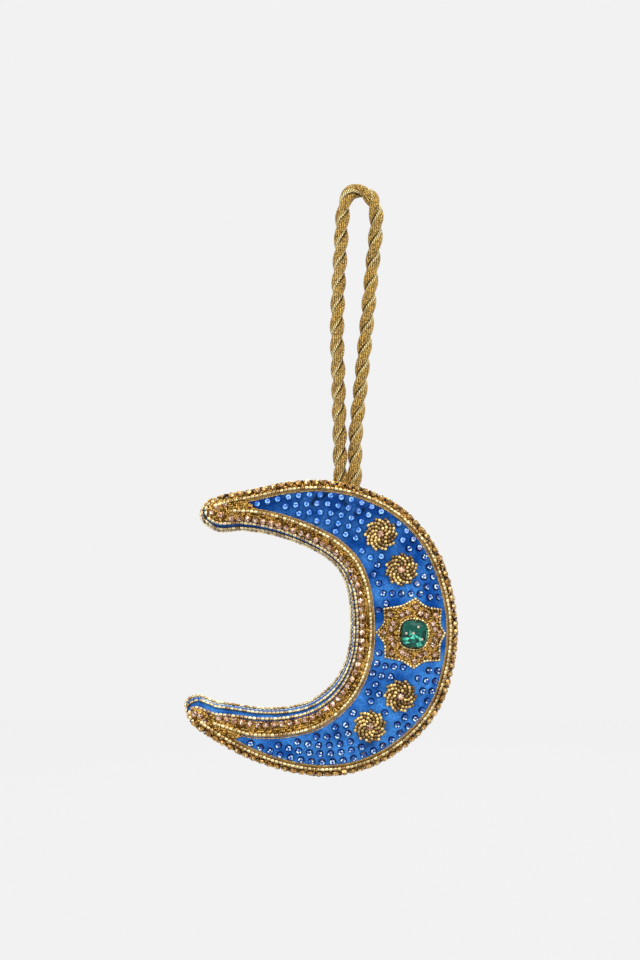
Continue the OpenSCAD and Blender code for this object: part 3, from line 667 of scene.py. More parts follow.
frontSurface, frontFoldShade = puckered(-1)
backSurface = puckered(1)[0]
velvetPieces = [
    (sheetPiece("velvet_front", frontSurface, (0, -1, 0)), "front_panel"),
    (sheetPiece("velvet_back", backSurface, (0, 1, 0)), "back_panel"),
    (sheetPiece("velvet_inner_band", bandGrid(-1), (-1, 0, 0)), "inner_gusset"),
    (sheetPiece("velvet_outer_band", bandGrid(1), (1, 0, 0)), "outer_gusset"),
]
# how deep in a crease each point lies, which the velvet's finish paints as shade
setValues(velvetPieces[0][0], "foldShade", frontFoldShade)
surfacePoints, surfaceFaces = [], []
for piece, node in velvetPieces:
    first = len(surfacePoints)
    surfacePoints += [v.co.copy() for v in piece.data.vertices]
    surfaceFaces += [[first + i for i in p.vertices] for p in piece.data.polygons]
surface = BVHTree.FromPolygons(surfacePoints, surfaceFaces)
for piece, node in velvetPieces:
    thicken(piece, crescent["skin"])
print("velvet cut and seamed")

# Stuffing and the cotton behind the embroidery, both hidden inside
stuffing = {"gap": 0.4, "lumps": 0.25, "lumpScale": 0.3, "cut": 0.98, "everyRow": 7, "backingDrop": 0.2,
            "backingShare": 0.7}
deep = crescent["skin"] + crescent["backing"] + stuffing["gap"]
inside = slice(0, None, stuffing["everyRow"])
ring = np.concatenate([
    panelGrid(-1, deep, stuffing["cut"])[inside, ::5], bandGrid(1, deep)[inside, 3:-3:2],
    panelGrid(1, deep, stuffing["cut"])[inside, ::-5], bandGrid(-1, deep)[inside, -4:2:-2]], axis=1)
rows, cols = ring.shape[:2]
ends = [list(range(cols)), [(rows - 1) * cols + j for j in reversed(range(cols))]]
wadding = meshPiece("wadding", inRow(ring).reshape(-1, 3), gridFaces(rows, cols, closedCols=True) + ends)
turnFacesOut(wadding)
for vertex in wadding.data.vertices:
    lump = noise.noise(vertex.co / mm * stuffing["lumpScale"]) - 0.5
    vertex.co += vertex.normal * stuffing["lumps"] * lump * mm
smooth(wadding)
backingGrid = panelGrid(-1, crescent["skin"] + stuffing["backingDrop"], stuffing["cut"])[::5, ::4]
backing = sheetPiece("cotton_backing", backingGrid, (0, -1, 0))
thicken(backing, crescent["backing"] * stuffing["backingShare"])
print("stuffing and backing laid")

# Beads and stones: each is modelled once, then copied to where the solids have one
seed = {"sides": 8, "length": 1.04, "width": 0.82, "fineWidth": 1.06, "hole": 0.16}
crystal = {"sides": 8, "table": 0.5, "size": 1.14, "tilt": 8, "girdle": 0.3, "crown": 0.45, "culet": 0.5,
           "pavilion": 0.6}
# glow is a direction whose facets are painted brighter, a painted highlight low on each stone
flatStone = {"sides": 9, "table": 0.7, "centre": 0.5, "rim": 0.3, "size": 1.18, "height": 1.0, "tilt": 3,
             "glow": (-0.15, 0, -0.4)}
purlChip = {"sides": 5, "length": 1.15, "width": 0.7, "waist": 0.8}


def startCylinder(sides, radius, depth, **settings):
    deselectAll()
    bpy.ops.mesh.primitive_cylinder_add(vertices=sides, radius=radius, depth=depth, end_fill_type="NGON",
                                        **settings)
    bpy.ops.object.transform_apply(location=False, rotation=True, scale=False)
    startEdit()


def makeSeed():
    # a short glass tube with rounded ends and a hole, one unit long along Z
    startCylinder(seed["sides"], 0.5, 0.56)
    pickFaces(lambda middle, normal: abs(normal.z) > 0.9)
    pushFaces((0.86, 0.86, 1.42), (0, 0, 0))
    pushFaces((0.66, 0.66, 1.25), (0, 0, 0))
    bpy.ops.mesh.inset(thickness=seed["hole"])
    pushFaces((1, 1, 0.7), (0, 0, 0))
    return pattern(endEdit())


def makeCrystal():
    # a round brilliant with its table up, one unit in radius
    startCylinder(crystal["sides"], 1, crystal["girdle"])
    pickFaces(lambda middle, normal: normal.z > 0.9)
    pushFaces((crystal["table"], crystal["table"], 1), (0, 0, crystal["crown"]))
    bpy.ops.mesh.poke()
    pickFaces(lambda middle, normal: normal.z < -0.9)
    pushFaces((crystal["culet"], crystal["culet"], 1), (0, 0, -crystal["pavilion"]))
    pickFaces(lambda middle, normal: abs(normal.z) < 0.95 and middle.z > crystal["girdle"] / 2 + 0.01)
    bpy.ops.mesh.quads_convert_to_tris()
    return pattern(endEdit())


def makeFlatStone():
    # a flat-backed stone with its table up, one unit in radius and in height
    startCylinder(flatStone["sides"], 1, flatStone["rim"], location=(0, 0, flatStone["rim"] / 2))
    pickFaces(lambda middle, normal: normal.z > 0.9)
    pushFaces((flatStone["table"], flatStone["table"], 1), (0, 0, 1 - flatStone["rim"]))
    pushFaces((flatStone["centre"], flatStone["centre"], 1), (0, 0, 0))
    bpy.ops.mesh.poke()
    pickFaces(lambda middle, normal: abs(normal.z) < 0.95 and middle.z > flatStone["rim"])
    bpy.ops.mesh.quads_convert_to_tris()
    points, faces = pattern(endEdit())
    return points - [0, 0, points[:, 2].min()], faces


def makeChip():
    # a cut length of coiled wire, one unit long along X, with its coils as rings
    startCylinder(purlChip["sides"], 0.5, 1, rotation=(0, math.radians(90), 0))
    for x in (-0.3, -0.1, 0.1, 0.3):
        bpy.ops.mesh.select_all(action="SELECT")
        bpy.ops.mesh.bisect(plane_co=(x, 0, 0), plane_no=(1, 0, 0))
    piece = endEdit()
    for vertex in piece.data.vertices:
        if 0.2 < abs(vertex.co.x) < 0.4 or abs(vertex.co.x) > 0.45:
            vertex.co.y *= purlChip["waist"]
            vertex.co.z *= purlChip["waist"]
    return pattern(piece)


def stoneFire(middle):
    # painted reflections: a dark crown, a lively table and a quieter centre
    if middle[2] < 0.9:
        return 0.14
    return 1.0 if math.hypot(middle[0], middle[1]) > 0.33 else 0.5


def crystalFire(middle):
    # painted reflections: the upper facets brighter than the rest
    return 1.0 if middle[2] > 0.4 else 0.7


seedShape, crystalShape, stoneShape, chipShape = makeSeed(), makeCrystal(), makeFlatStone(), makeChip()


def solidsOf(name):
    # the middle, the mean point and the width of each separate solid of a CAD node
    shape = bmesh.new()
    shape.from_mesh(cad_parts[name].data)
    bmesh.ops.remove_doubles(shape, verts=shape.verts, dist=0.002 * mm)
    seen, found = set(), []
    for start in shape.verts:
        if start in seen:
            continue
        seen.add(start)
        group, waiting = [], [start]
        while waiting:
            vertex = waiting.pop()
            group.append(vertex.co.copy())
            for edge in vertex.link_edges:
                other = edge.other_vert(vertex)
                if other not in seen:
                    seen.add(other)
                    waiting.append(other)
        points = np.array(group)
        low, high = points.min(0), points.max(0)
        found.append(((low + high) / 2, points.mean(0), (high - low).max()))
    shape.free()
    return found


def offSurface(place):
    # the direction out of the velvet at a place near it
    near, normal = surface.find_nearest(Vector(place))[:2]
    out = Vector(place) - near
    return np.array((out if out.length > 0.05 * mm else normal).normalized())


def rowDirection(places, k):
    # along a row of beads at its bead k
    away = np.linalg.norm(places - places[k], axis=1)
    order = np.argsort(away)
    first = places[order[1]] - places[k]
    for j in order[2:8]:
        other = places[j] - places[k]
        if first @ other < 0:
            return unit(unit(first) - unit(other))
    return unit(first)


def seedSpots(name, widthShare):
    solids = solidsOf(name)
    places, width = np.array([s[0] for s in solids]), solids[0][2]
    spots = []
    for k, place in enumerate(places):
        along, up = rowDirection(places, k), offSurface(place)
        wide = width * widthShare * chance.uniform(0.92, 1.06)
        spots.append((place, unit(np.cross(up, along)), along, (wide, wide, width * seed["length"])))
    return spots


def spun(side, up, turn):
    # a side turned about the upward direction
    return math.cos(turn) * side + math.sin(turn) * np.cross(up, side)


def anySide(up):
    return unit(np.cross(up, np.array([0.3, 0.1, 1.0])))


def looseAxes(place, tilt):
    # an upward direction off by a few degrees, with a side at random
    up = unit(offSurface(place) + np.array([chance.gauss(0, 1) for i in range(3)]) * math.radians(tilt))
    return spun(anySide(up), up, chance.uniform(0, math.pi)), up


def crystalSpots(name):
    return [(place, *looseAxes(place, crystal["tilt"]), (crystal["size"] * width / 2,) * 3)
            for place, mean, width in solidsOf(name)]


def stoneSpots(name):
    spots, height = [], flatStone["height"] * mm
    for place, mean, width in solidsOf(name):
        side, up = looseAxes(mean, flatStone["tilt"])
        wide = flatStone["size"] * width / 2
        spots.append((mean - up * height / 2, side, up, (wide, wide, height)))
    return spots


# Crystals at the very ends of the horns, past the last ones of the solids' rows, by angle and share across
hornTips = {"width": 2.0, "lift": 0.75,
            "spots": [(117.9, 0.5), (121.3, 0.48), (121.6, -0.28), (124.3, 0.2),
                      (-131.6, 0.1), (-134.6, -0.2), (-137.0, 0.15)]}


def hornTipSpots():
    spots, size = [], crystal["size"] * hornTips["width"] / 2 * mm
    for angle, across in hornTips["spots"]:
        up = panelNormal(np.array(angle), np.array(across))
        place = panelPoint(-1, angle, across) + up * hornTips["lift"]
        spots.append((inRow(place), anySide(up), up, (size,) * 3))
    return spots


# Seeds that run round the very ends of the horns, on the side band and on the front seam
tipSeeds = {"width": 1.45, "pitch": 1.56, "lift": 0.6, "bayDegrees": 3, "outerDegrees": 8,
            "turnDegrees": 4, "endDegrees": 0.02, "bandPlace": 0.05, "step": 0.1, "endSteps": 8}


def tipSeedSpots():
    spots, wide = [], tipSeeds["width"] * seed["width"] * mm
    for tip, way in ((crescent["tipLow"], 1), (crescent["tipUp"], -1)):
        inner = tip + way * np.linspace(tipSeeds["bayDegrees"], tipSeeds["endDegrees"], 40)
        outer = tip + way * np.linspace(tipSeeds["endDegrees"], tipSeeds["outerDegrees"], 80)
        for v, forward in ((tipSeeds["bandPlace"], 0.0), (-1.0, 1.0)):
            path = bandPoint(1, outer, v)
            if not forward:
                path = np.concatenate([bandPoint(-1, inner, v), path])
            line, at = evenLine(path, tipSeeds["step"])
            ends, every = tipSeeds["endSteps"], round(tipSeeds["pitch"] / tipSeeds["step"])
            for k in range(ends, len(line) - ends, every):
                point, along = line[k], unit(line[k + 5] - line[k - 5])
                off = abs(math.degrees(math.atan2(point[2], point[0])) - tip)
                centre = tip + way * max(off, tipSeeds["turnDegrees"])
                x, z = polar(midRadius(-1, np.array(centre)), centre)
                up = unit(point - [x, point[1], z]) - [0, forward, 0]
                up = unit(up - (up @ along) * along)
                spots.append((inRow(point + up * tipSeeds["lift"]), np.cross(up, along), along,
                              (wide, wide, tipSeeds["width"] * seed["length"] * mm)))
    return spots


print("bead shapes ready")

# Purl: short cut coils of gold wire laid close over the couched bands and the medallion's ground
purl = {
    "step": 0.68, "stray": 0.3, "slantAngle": 40, "rimSlantAngle": 60, "wander": 45, "heap": 0.1,
    "meetUp": 106.5, "meetLow": -113.5, "meetOver": 3.5, "meetInset": 0.5,
    "stripColumns": 7, "stripGap": 0.05,
    # strips of gold ground: first and last inset from their seam, and height
    "innerStrip": (0.3, 5.2, 0.3), "rimStrip": (2.25, -0.2, 0.25),
    # chips: first inset, last inset unless the strip's edge ends them, and number of rows
    "innerChips": (0.5, 4.4, 6), "tipChips": (0.9, 0.3, 10), "apexChips": (4.6, 4),
    "rimChips": (1.5, 0.1, 3), "chipLift": 0.5,
    # chips heaped on the outer band between the crystals: from, to, number of rows and lift
    "sideChips": [(-0.9, -0.4, 2, 0.45), (-1.0, -0.75, 1, 0.9), (-1.0, -0.85, 1, 1.3)],
    # stretches of the borders in degrees, each with its number of points
    "inner": (-138.3, 125.7, 420), "rim": (-138, 124, 300),
    "tips": [(110, 125.9, 40), (-138.5, -117, 40)], "apexes": [(106.5, 110, 12), (-117, -113.5, 12)],
}


def chipSpots(middles, alongs, normals, wander):
    spots = []
    for place, along, up in zip(middles, alongs, normals):
        along = unit(spun(along, up, math.radians(chance.gauss(0, wander))))
        size = np.array([purlChip["length"] * chance.uniform(0.8, 1.1)] + [purlChip["width"]] * 2) * mm
        spots.append((inRow(place), along, up, size))
    return spots


def evenTint(piece, value):
    return setValues(piece, "tint", [value] * len(piece.data.vertices))


def bandStrip(name, inner, outer, angles, height):
    # a gold strip along the front between two lines, low at its edges
    across = np.linspace(0, 1, purl["stripColumns"])[None, :]
    s = np.clip(mix(inner(angles)[:, None], outer(angles)[:, None], across), -0.99, 0.99)
    base = panelPoint(-1, angles[:, None], s)
    normal = panelNormal(angles[:, None], s)
    lift = height * (1 - np.abs(2 * across - 1) ** 4) + purl["stripGap"]
    return evenTint(sheetPiece(name, base + normal * lift[..., None], (0, -1, 0)), 0.5)


def bandChips(inner, outer, angles, rows, lift, slantAngle, side=0):
    # rows of chips between two lines
    middles, alongs, normals = [], [], []
    for row in range(rows):
        share = (row + 0.5) / rows
        s = np.clip(mix(inner(angles), outer(angles), share), -0.97, 0.97)
        line, along = evenLine(np.stack([angles, s], axis=1), 0.01)
        path = coverPoint(side, line[:, 0], line[:, 1])
        length = np.concatenate([[0], np.cumsum(np.linalg.norm(np.diff(path, axis=0), axis=1))])
        at = np.arange(purl["step"] * (0.5 + 0.5 * (row % 2)), length[-1], purl["step"])
        turn, s = (np.interp(at, length, line[:, k]) for k in range(2))
        turn += np.array([chance.gauss(0, purl["stray"]) for i in at])
        middle, normal = coverPoint(side, turn, s), coverNormal(side, turn, s)
        run = unit(coverPoint(side, turn + 0.4, s) - middle)
        slope = math.radians(slantAngle)
        lifts = lift + np.array([chance.gauss(0, purl["heap"]) for i in at])
        middles += list(middle + normal * lifts[:, None])
        alongs += list(math.cos(slope) * run + math.sin(slope) * np.cross(normal, run))
        normals += list(normal)
    return chipSpots(middles, alongs, normals, purl["wander"])


def frontHalf(angle):
    return np.maximum(halfWidth(-1, angle), 0.1)


def fromInner(inset):
    return lambda a: -1 + inset * innerBorder(a) / crescent["innerBorder"] / frontHalf(a)


def fromOuter(inset):
    return lambda a: 1 - np.minimum(inset, 0.6 * halfWidth(-1, a)) / frontHalf(a)


def joined(name, *parts):
    only(parts[0])
    for part in parts[1:]:
        part.select_set(True)
    bpy.ops.object.join()
    parts[0].name = name
    return parts[0]


def meeting(inner, outer):
    # follows the inner line, and over the horn tips, where the two borders run together, the outer one
    def line(a):
        over = np.clip(np.maximum(a - purl["meetUp"], purl["meetLow"] - a) / purl["meetOver"], 0, 1)
        return mix(inner(a), outer(a), over)
    return line


innerAngles, rimAngles = np.linspace(*purl["inner"]), np.linspace(*purl["rim"])
start, end, height = purl["innerStrip"]
innerEdge = meeting(fromInner(end), fromOuter(purl["meetInset"]))
innerStrip = bandStrip("innerStrip", fromInner(start), innerEdge, innerAngles, height)
start, end, rows = purl["innerChips"]
chipLines = [(fromInner(start), fromInner(end), innerAngles, rows)]
start, end, rows = purl["tipChips"]
chipLines += [(fromInner(start), fromOuter(end), np.linspace(*tip), rows) for tip in purl["tips"]]
start, rows = purl["apexChips"]
chipLines += [(fromInner(start), innerEdge, np.linspace(*apex), rows) for apex in purl["apexes"]]
innerChips = [spot for line in chipLines for spot in bandChips(*line, purl["chipLift"], purl["slantAngle"])]
innerHeap = copies("innerChips", chipShape, innerChips)
innerPurl = joined("purl_inner_border", smooth(innerStrip), smooth(innerHeap))
start, end, height = purl["rimStrip"]
rimStrip = bandStrip("rimStrip", fromOuter(start), fromOuter(end), rimAngles, height)
start, end, rows = purl["rimChips"]
rimSpots = bandChips(fromOuter(start), fromOuter(end), rimAngles, rows, purl["chipLift"],
                     purl["rimSlantAngle"])
for start, end, rows, lift in purl["sideChips"]:
    rimSpots += bandChips(lambda a: start + 0 * a, lambda a: end + 0 * a, rimAngles, rows, lift,
                          purl["rimSlantAngle"], 1)
rimPurl = joined("purl_rim", smooth(rimStrip), smooth(copies("rimChips", chipShape, rimSpots)))

# Couched threads: two plies laid round each other
thread = {"diameter": 0.36, "turn": 1.3, "step": 0.16, "sides": 6, "lift": 0.3, "fullness": 1.15,
          # inset in millimetres, first and last angle, number of points
          "rim": (2.61, -128, 119.5, 300), "inner": (5.55, -122, 114, 300)}


def couchedThread(name, fromSeam, inset, *stretch):
    angles = np.linspace(*stretch)
    s = fromSeam(inset)(angles)
    normal = panelNormal(angles, s)
    path = np.concatenate([panelPoint(-1, angles, s) + normal * thread["lift"], normal], axis=1)
    line, along = evenLine(path, thread["step"])
    r = thread["diameter"] / 4 * mm
    return layStrands(name, inRow(line[:, :3]), along * mm, along / thread["turn"], unit(line[:, 3:]), 2,
                      r, r * thread["fullness"], thread["sides"])


rimThread = couchedThread("thread_rim", fromOuter, *thread["rim"])
innerThread = couchedThread("thread_inner_border", fromInner, *thread["inner"])
print("borders laid")

# Medallion: a gold ground in the shape of a star, covered with purl chips
def domePiece(name, grid):
    # a closed sheet over rings of points round a middle: one row a turn, from the middle out
    n, cols = grid.shape[:2]
    faces = gridFaces(n, cols, closedRows=True) + [[k * cols for k in range(n)]]
    piece = turnFacesOut(meshPiece(name, inRow(grid).reshape(-1, 3), faces))
    if piece.data.polygons[0].normal.y > 0:
        piece.data.flip_normals()
    return smooth(piece)


def starGround():
    turns, rings = np.arange(0, 360, 4.5), np.linspace(0, 1, 8)
    x, z = polar((starReach(turns) - medallion["inset"])[:, None] * rings[None, :], turns[:, None])
    lift = medallion["ground"] * (1 - rings ** 8) + 0.05
    points, normals = onFront(medallionX + x, medallionZ + z)
    return evenTint(domePiece("starGround", (points + normals * lift[None, :, None])[:, 1:]), 0.4)


def starChips():
    middles, alongs, normals = [], [], []
    r = medallion["gemRoom"]
    while r < medallion["reach"] * medallion["farShare"]:
        count = int(2 * math.pi * r / medallion["chipStep"])
        for k in range(count):
            turn = 360 * (k + 0.5 * chance.random()) / count
            if r > starReach(turn) - medallion["chipInset"]:
                continue
            x, z = polar(r, turn)
            lift = medallion["ground"] + medallion["chipLift"]
            point, normal = onFront(medallionX + x, medallionZ + z, lift)
            aim = math.radians(chance.uniform(0, 360))
            along = np.array([math.cos(aim), 0, math.sin(aim)])
            middles.append(point)
            normals.append(normal)
            alongs.append(unit(along - (along @ normal) * normal))
        r += medallion["chipStep"] * medallion["ringShare"]
    return chipSpots(middles, alongs, normals, medallion["chipWander"])


medallionPurl = joined("purl_medallion", starGround(), smooth(copies("starChips", chipShape, starChips())))

# Green stone: a cushion cut with a faceted back under a clear front
gem = {"turn": -5, "width": 9.9, "length": 9.28, "height": 3, "corner": 0.6, "corners": 2, "table": 0.78,
       "crown": 0.3, "base": 0.6, "lowerShare": 0.62, "smoothFrom": 0.22, "lift": 0.12,
       "foilShare": 0.96, "foilHeight": 0.6, "foilRim": 0.25,
       # rings of facets in the foil: share of the ring outside them and drop
       "foilRings": [(0.7, 0.55), (0.55, 0.6)]}
gemPoint, gemNormal = onFront(medallionX, medallionZ, medallion["ground"] + gem["lift"])


def placeGem(piece):
    # the stone is modelled about the origin with its length along X and its table up Z
    side = unit(np.array([1.0, 0, 0]) - gemNormal[0] * gemNormal)
    side = spun(side, gemNormal, math.radians(gem["turn"]))
    axes = np.array([side, np.cross(gemNormal, side), gemNormal])
    spot = Matrix([(*row, 0) for row in axes.T] + [(0, 0, 0, 1)])
    spot.translation = Vector(inRow(gemPoint))
    piece.data.transform(spot)
    return piece


def cushion(name, share, low, high, segments):
    # a block with a cushion outline, from one height to another
    deselectAll()
    bpy.ops.mesh.primitive_cube_add(size=1, location=(0, 0, 0))
    bpy.context.object.name = name
    size = np.array([gem["length"] * share, gem["width"] * share, high - low]) * mm
    bpy.ops.transform.resize(value=size)
    bpy.ops.transform.translate(value=(0, 0, (low + high) / 2 * mm))
    bpy.ops.object.transform_apply(location=True, rotation=False, scale=True)
    startEdit()
    bpy.ops.mesh.select_mode(type="EDGE")
    pickParts("edges", lambda edge: abs((edge.verts[0].co - edge.verts[1].co).normalized().z) > 0.9)
    bpy.ops.mesh.bevel(offset=gem["corner"] * gem["width"] / 2 * mm * share, segments=segments)
    bpy.ops.mesh.select_mode(type="FACE")


def makeGemFront():
    lower = gem["height"] * gem["lowerShare"]
    cushion("gemFront", 1.0, gem["base"], lower, 2 * gem["corners"])
    pickFaces(lambda middle, normal: normal.z > 0.9)
    pushFaces((0.9, 0.9, 1), (0, 0, gem["crown"] * lower * mm))
    pushFaces((gem["table"], gem["table"], 1), (0, 0, gem["crown"] * (gem["height"] - lower) * mm))
    return endEdit()


def makeGemBack():
    # the foil cup: rings of triangular facets that fall to the middle
    cushion("gemBack", gem["foilShare"], 0.02, gem["height"] * gem["foilHeight"], gem["corners"])
    pickFaces(lambda middle, normal: normal.z > 0.9)
    bpy.ops.mesh.inset(thickness=gem["foilRim"] * mm)
    for share, drop in gem["foilRings"]:
        pushFaces((share, share, 1), (0, 0, -drop * mm))
    bpy.ops.mesh.poke()
    bpy.ops.mesh.select_all(action="SELECT")
    bpy.ops.mesh.quads_convert_to_tris(quad_method="FIXED")
    piece = endEdit()
    # painted reflections: the foil's upper facets painted evenly, the others bright or dark at random
    values = []
    for face in piece.data.polygons:
        high = face.center.y > gem["smoothFrom"] * gem["width"] / 2 * mm
        values.append(chance.uniform(0.4, 0.5) if high else chance.random() ** 1.3)
    return setValues(piece, "facet", values, "FACE")


gemFront, gemBack = smooth(placeGem(makeGemFront()), 40), placeGem(makeGemBack())
gemFront.name, gemBack.name = "green_stone", "green_stone_foil"
print("medallion laid")

# Rosettes: strings of seeds that curl out from round a heart crystal, like a pinwheel
def rosetteSpots(i):
    x, z = rosettePlace(i)
    spots, size = [], (rosette["seed"] * mm, rosette["seed"] * mm, rosette["pitch"] * mm)
    half = rosette["stepsEach"] // 2
    for arm in range(rosette["arms"]):
        turn = 2 * math.pi * arm / rosette["arms"] + rosette["turnEach"] * i
        r, line = rosette["first"], []
        while r < rosette["last"]:
            line.append((x + r * math.cos(turn), z + r * math.sin(turn)))
            step = rosette["pitch"] / rosette["stepsEach"]
            outward = min(1, rosette["wide"] * rosette["arms"] / (2 * math.pi * r))
            turn += step * math.sqrt(1 - outward ** 2) / r
            r += step * outward
        for k in range(half, len(line) - half, rosette["stepsEach"]):
            lift = rosette["seed"] / 2 + rosette["groundHeight"] * (1 - k / len(line)) + rosette["lift"]
            point, normal = onFront(*line[k], lift)
            along = unit(onFront(*line[k + half], lift)[0] - point)
            spots.append((inRow(point), np.cross(normal, along), along, size))
    return spots


def rosetteGround(i):
    # a low padded round under the strings, whose dull gold stands partly for painted shade between the beads
    x, z = rosettePlace(i)
    rings = np.linspace(0.02, 1, 7)
    lift = rosette["groundHeight"] * (1 - rings ** 4)
    ringX, ringZ = polar(rosette["ground"] * rings[None, :], np.arange(0, 360, 12)[:, None])
    points, normals = onFront(x + ringX, z + ringZ)
    return evenTint(domePiece(f"rosette_padding_{i + 1}", points + normals * lift[None, :, None]), 0.5)


# Finishes: shared effects are node groups, built once
tintGroup, start, end = newGroup(
    "bead tint", {"Dark": (0, 0, 0, 1), "Light": (1, 1, 1, 1), "Contrast": 1.0, "Roughness": 0.3},
    "Color", "Roughness")
cloud = noiseAt(tintGroup, 180.0, 3.0)
centred = calc(tintGroup, "ADD", calc(tintGroup, "ADD", attribute(tintGroup, "tint"), cloud), -1.0)
spread = calc(tintGroup, "MULTIPLY", centred, start["Contrast"])
level = calc(tintGroup, "ADD", spread, 0.5, use_clamp=True)
rough = calc(tintGroup, "MULTIPLY_ADD", cloud, 0.35, start["Roughness"])
feed(tintGroup, end, Color=mixed(tintGroup, level, start["Dark"], start["Light"]),
     Roughness=calc(tintGroup, "ADD", rough, -0.17, use_clamp=True))

# Painted reflections on faceted stones: each facet painted from deep through middle to a bright glint by its
# facet value
facetGroup, start, end = newGroup(
    "facet fire", {"Deep": (0, 0, 0, 1), "Middle": (0.5, 0.5, 0.5, 1), "Bright": (1, 1, 1, 1), "Shift": 0.0},
    "Color")
wobble = calc(facetGroup, "MULTIPLY_ADD", noiseAt(facetGroup, 900.0, 2.0), 0.3, start["Shift"])
level = calc(facetGroup, "ADD", attribute(facetGroup, "facet"), wobble)
lower = mixed(facetGroup, ranged(facetGroup, level, 0.2, 0.55), start["Deep"], start["Middle"])
feed(facetGroup, end, Color=mixed(facetGroup, ranged(facetGroup, level, 0.74, 0.92), lower, start["Bright"]))

# Wound fibre: ridges for the bump, and masks for painted shade in the grooves and where two strands meet,
# and for a painted highlight in dashes beside it
fibreGroup, start, end = newGroup(
    "wound fibre", {"Along": 1000.0, "Slant": 1.0, "Woven": 0.0}, "Height", "Hollow", "Crease", "Gleam")
parts = put(fibreGroup, "SeparateXYZ", {0: put(fibreGroup, "UVMap", uv_map="UVMap").outputs[0]}).outputs
run = calc(fibreGroup, "MULTIPLY", parts[0], start["Along"])
about = calc(fibreGroup, "MULTIPLY", parts[1], start["Slant"])
ridges = []
for way in ("ADD", "SUBTRACT"):
    turned = calc(fibreGroup, "MULTIPLY", calc(fibreGroup, way, run, about), 2 * math.pi)
    ridges.append(calc(fibreGroup, "ABSOLUTE", calc(fibreGroup, "COSINE", turned)))
other = put(fibreGroup, "Mix", {"Factor": start["Woven"], 2: 1.0, 3: ridges[1]}).outputs[0]
ridge = calc(fibreGroup, "MULTIPLY", ridges[0], other)


def besideShare(share, far, near):
    # 1 near one share of the way round a strand and 0 beyond the far distance from it
    off = calc(fibreGroup, "ABSOLUTE", calc(fibreGroup, "ADD", parts[1], -share))
    return ranged(fibreGroup, off, far, near)


# painted shade where two strands meet, and a painted highlight in dashes beside it
dashes = ranged(fibreGroup, ridges[0], 0.25, 0.75)
feed(fibreGroup, end, Height=ridge, Hollow=ranged(fibreGroup, ridge, 0.45, 0.0),
     Crease=besideShare(0.685, 0.085, 0.055),
     Gleam=calc(fibreGroup, "MULTIPLY", besideShare(0.27, 0.1, 0.04), dashes))

grainGroup, start, end = newGroup(
    "fine grain", {"Scale": 1000.0, "Detail": 3.0, "Patch scale": 60.0}, "Grain", "Patches")
feed(grainGroup, end, Grain=noiseAt(grainGroup, start["Scale"], start["Detail"]),
     Patches=noiseAt(grainGroup, start["Patch scale"], 4.0))

# Blue velvet: dark in its grain, with painted shade in its folds, a mottle of painted sheen in patches that
# is paler low down, and darker towards the top
velvetBlue, tree, sockets = newFinish("blue velvet", Roughness=0.9, Sheen_Weight=0.16, Sheen_Roughness=0.4,
                                      Sheen_Tint=colour(110, 170, 235), Specular_IOR_Level=0.15)
grain = useGroup(tree, grainGroup, {"Scale": 1500.0, "Detail": 5.0, "Patch scale": 120.0})
height = put(tree, "SeparateXYZ", {0: objectPlace(tree)}).outputs[2]
# painted sheen: lighter patches, and lighter still low down
mottleAndSheen = calc(tree, "ADD", grain["Patches"], ranged(tree, height, -0.13, -0.2, 0.0, 0.13))
base = mixed(tree, ranged(tree, mottleAndSheen, 0.42, 0.72), colour(0, 68, 150), colour(62, 132, 212))
pileAndShade = ranged(tree, grain["Grain"], 0.3, 0.7, 0.55, 1.3)
pileAndShade = calc(tree, "MULTIPLY", pileAndShade, ranged(tree, height, -0.14, -0.113, 1.0, 0.66))
# painted shade in the creases, darker the deeper in one
pileAndShade = calc(tree, "MULTIPLY", pileAndShade, ranged(tree, attribute(tree, "foldShade"), 0.0, 0.5, 1.0, 0.25))
feed(tree, sockets, Base_Color=mixed(tree, 1.0, base, pileAndShade, blend_type="MULTIPLY"),
     Normal=bumped(tree, grain["Grain"], 0.35, 0.0002))


def beadFinish(name, dark, light, contrast, roughness, **constants):
    finish, tree, sockets = newFinish(name, **constants)
    tint = useGroup(tree, tintGroup, {"Dark": colour(*dark), "Light": colour(*light), "Contrast": contrast,
                                      "Roughness": roughness})
    feed(tree, sockets, Base_Color=tint["Color"], Roughness=tint["Roughness"])
    return finish


def stoneFinish(name, deep, middle, bright, shift, **constants):
    finish, tree, sockets = newFinish(name, **constants)
    fire = useGroup(tree, facetGroup, {"Deep": colour(*deep), "Middle": colour(*middle),
                                       "Bright": colour(*bright), "Shift": shift})
    feed(tree, sockets, Base_Color=fire["Color"])
    return finish


def threadFinish(name, dark, light, gleam, along, slantTurns, woven, depth, **constants):
    # wound or woven thread on pieces with their own UV map, with painted shade in its grooves and where
    # strands meet, and a painted highlight beside it
    finish, tree, sockets = newFinish(name, **constants)
    fibre = useGroup(tree, fibreGroup, {"Along": along, "Slant": slantTurns, "Woven": woven})
    grain = useGroup(tree, grainGroup, {"Scale": 1900.0, "Detail": 2.0, "Patch scale": 250.0})
    base = mixed(tree, fibre["Hollow"], colour(*light), colour(*dark))
    # a fine random mottle, partly standing for painted glints on the metal
    mottleAndSheen = ranged(tree, grain["Grain"], 0.38, 0.62, 0.3, 1.5)
    base = mixed(tree, 1.0, base, mottleAndSheen, blend_type="MULTIPLY")
    base = mixed(tree, fibre["Crease"], base, colour(*dark))
    base = mixed(tree, fibre["Gleam"], base, colour(*gleam))
    feed(tree, sockets, Base_Color=base, Normal=bumped(tree, fibre["Height"], 0.8, depth))
    return finish


def plainThreadFinish(name, dark, light, scale, **constants):
    # thread on the small CAD stitches, whose twist runs round the object's own axes
    finish, tree, sockets = newFinish(name, **constants)
    wave = put(tree, "TexWave", {"Vector": objectPlace(tree), "Scale": scale, "Distortion": 1.5,
                                 "Detail": 2.0}, bands_direction="DIAGONAL").outputs["Fac"]
    feed(tree, sockets, Base_Color=mixed(tree, wave, colour(*dark), colour(*light)),
         Normal=bumped(tree, wave, 0.6, 0.0001))
    return finish


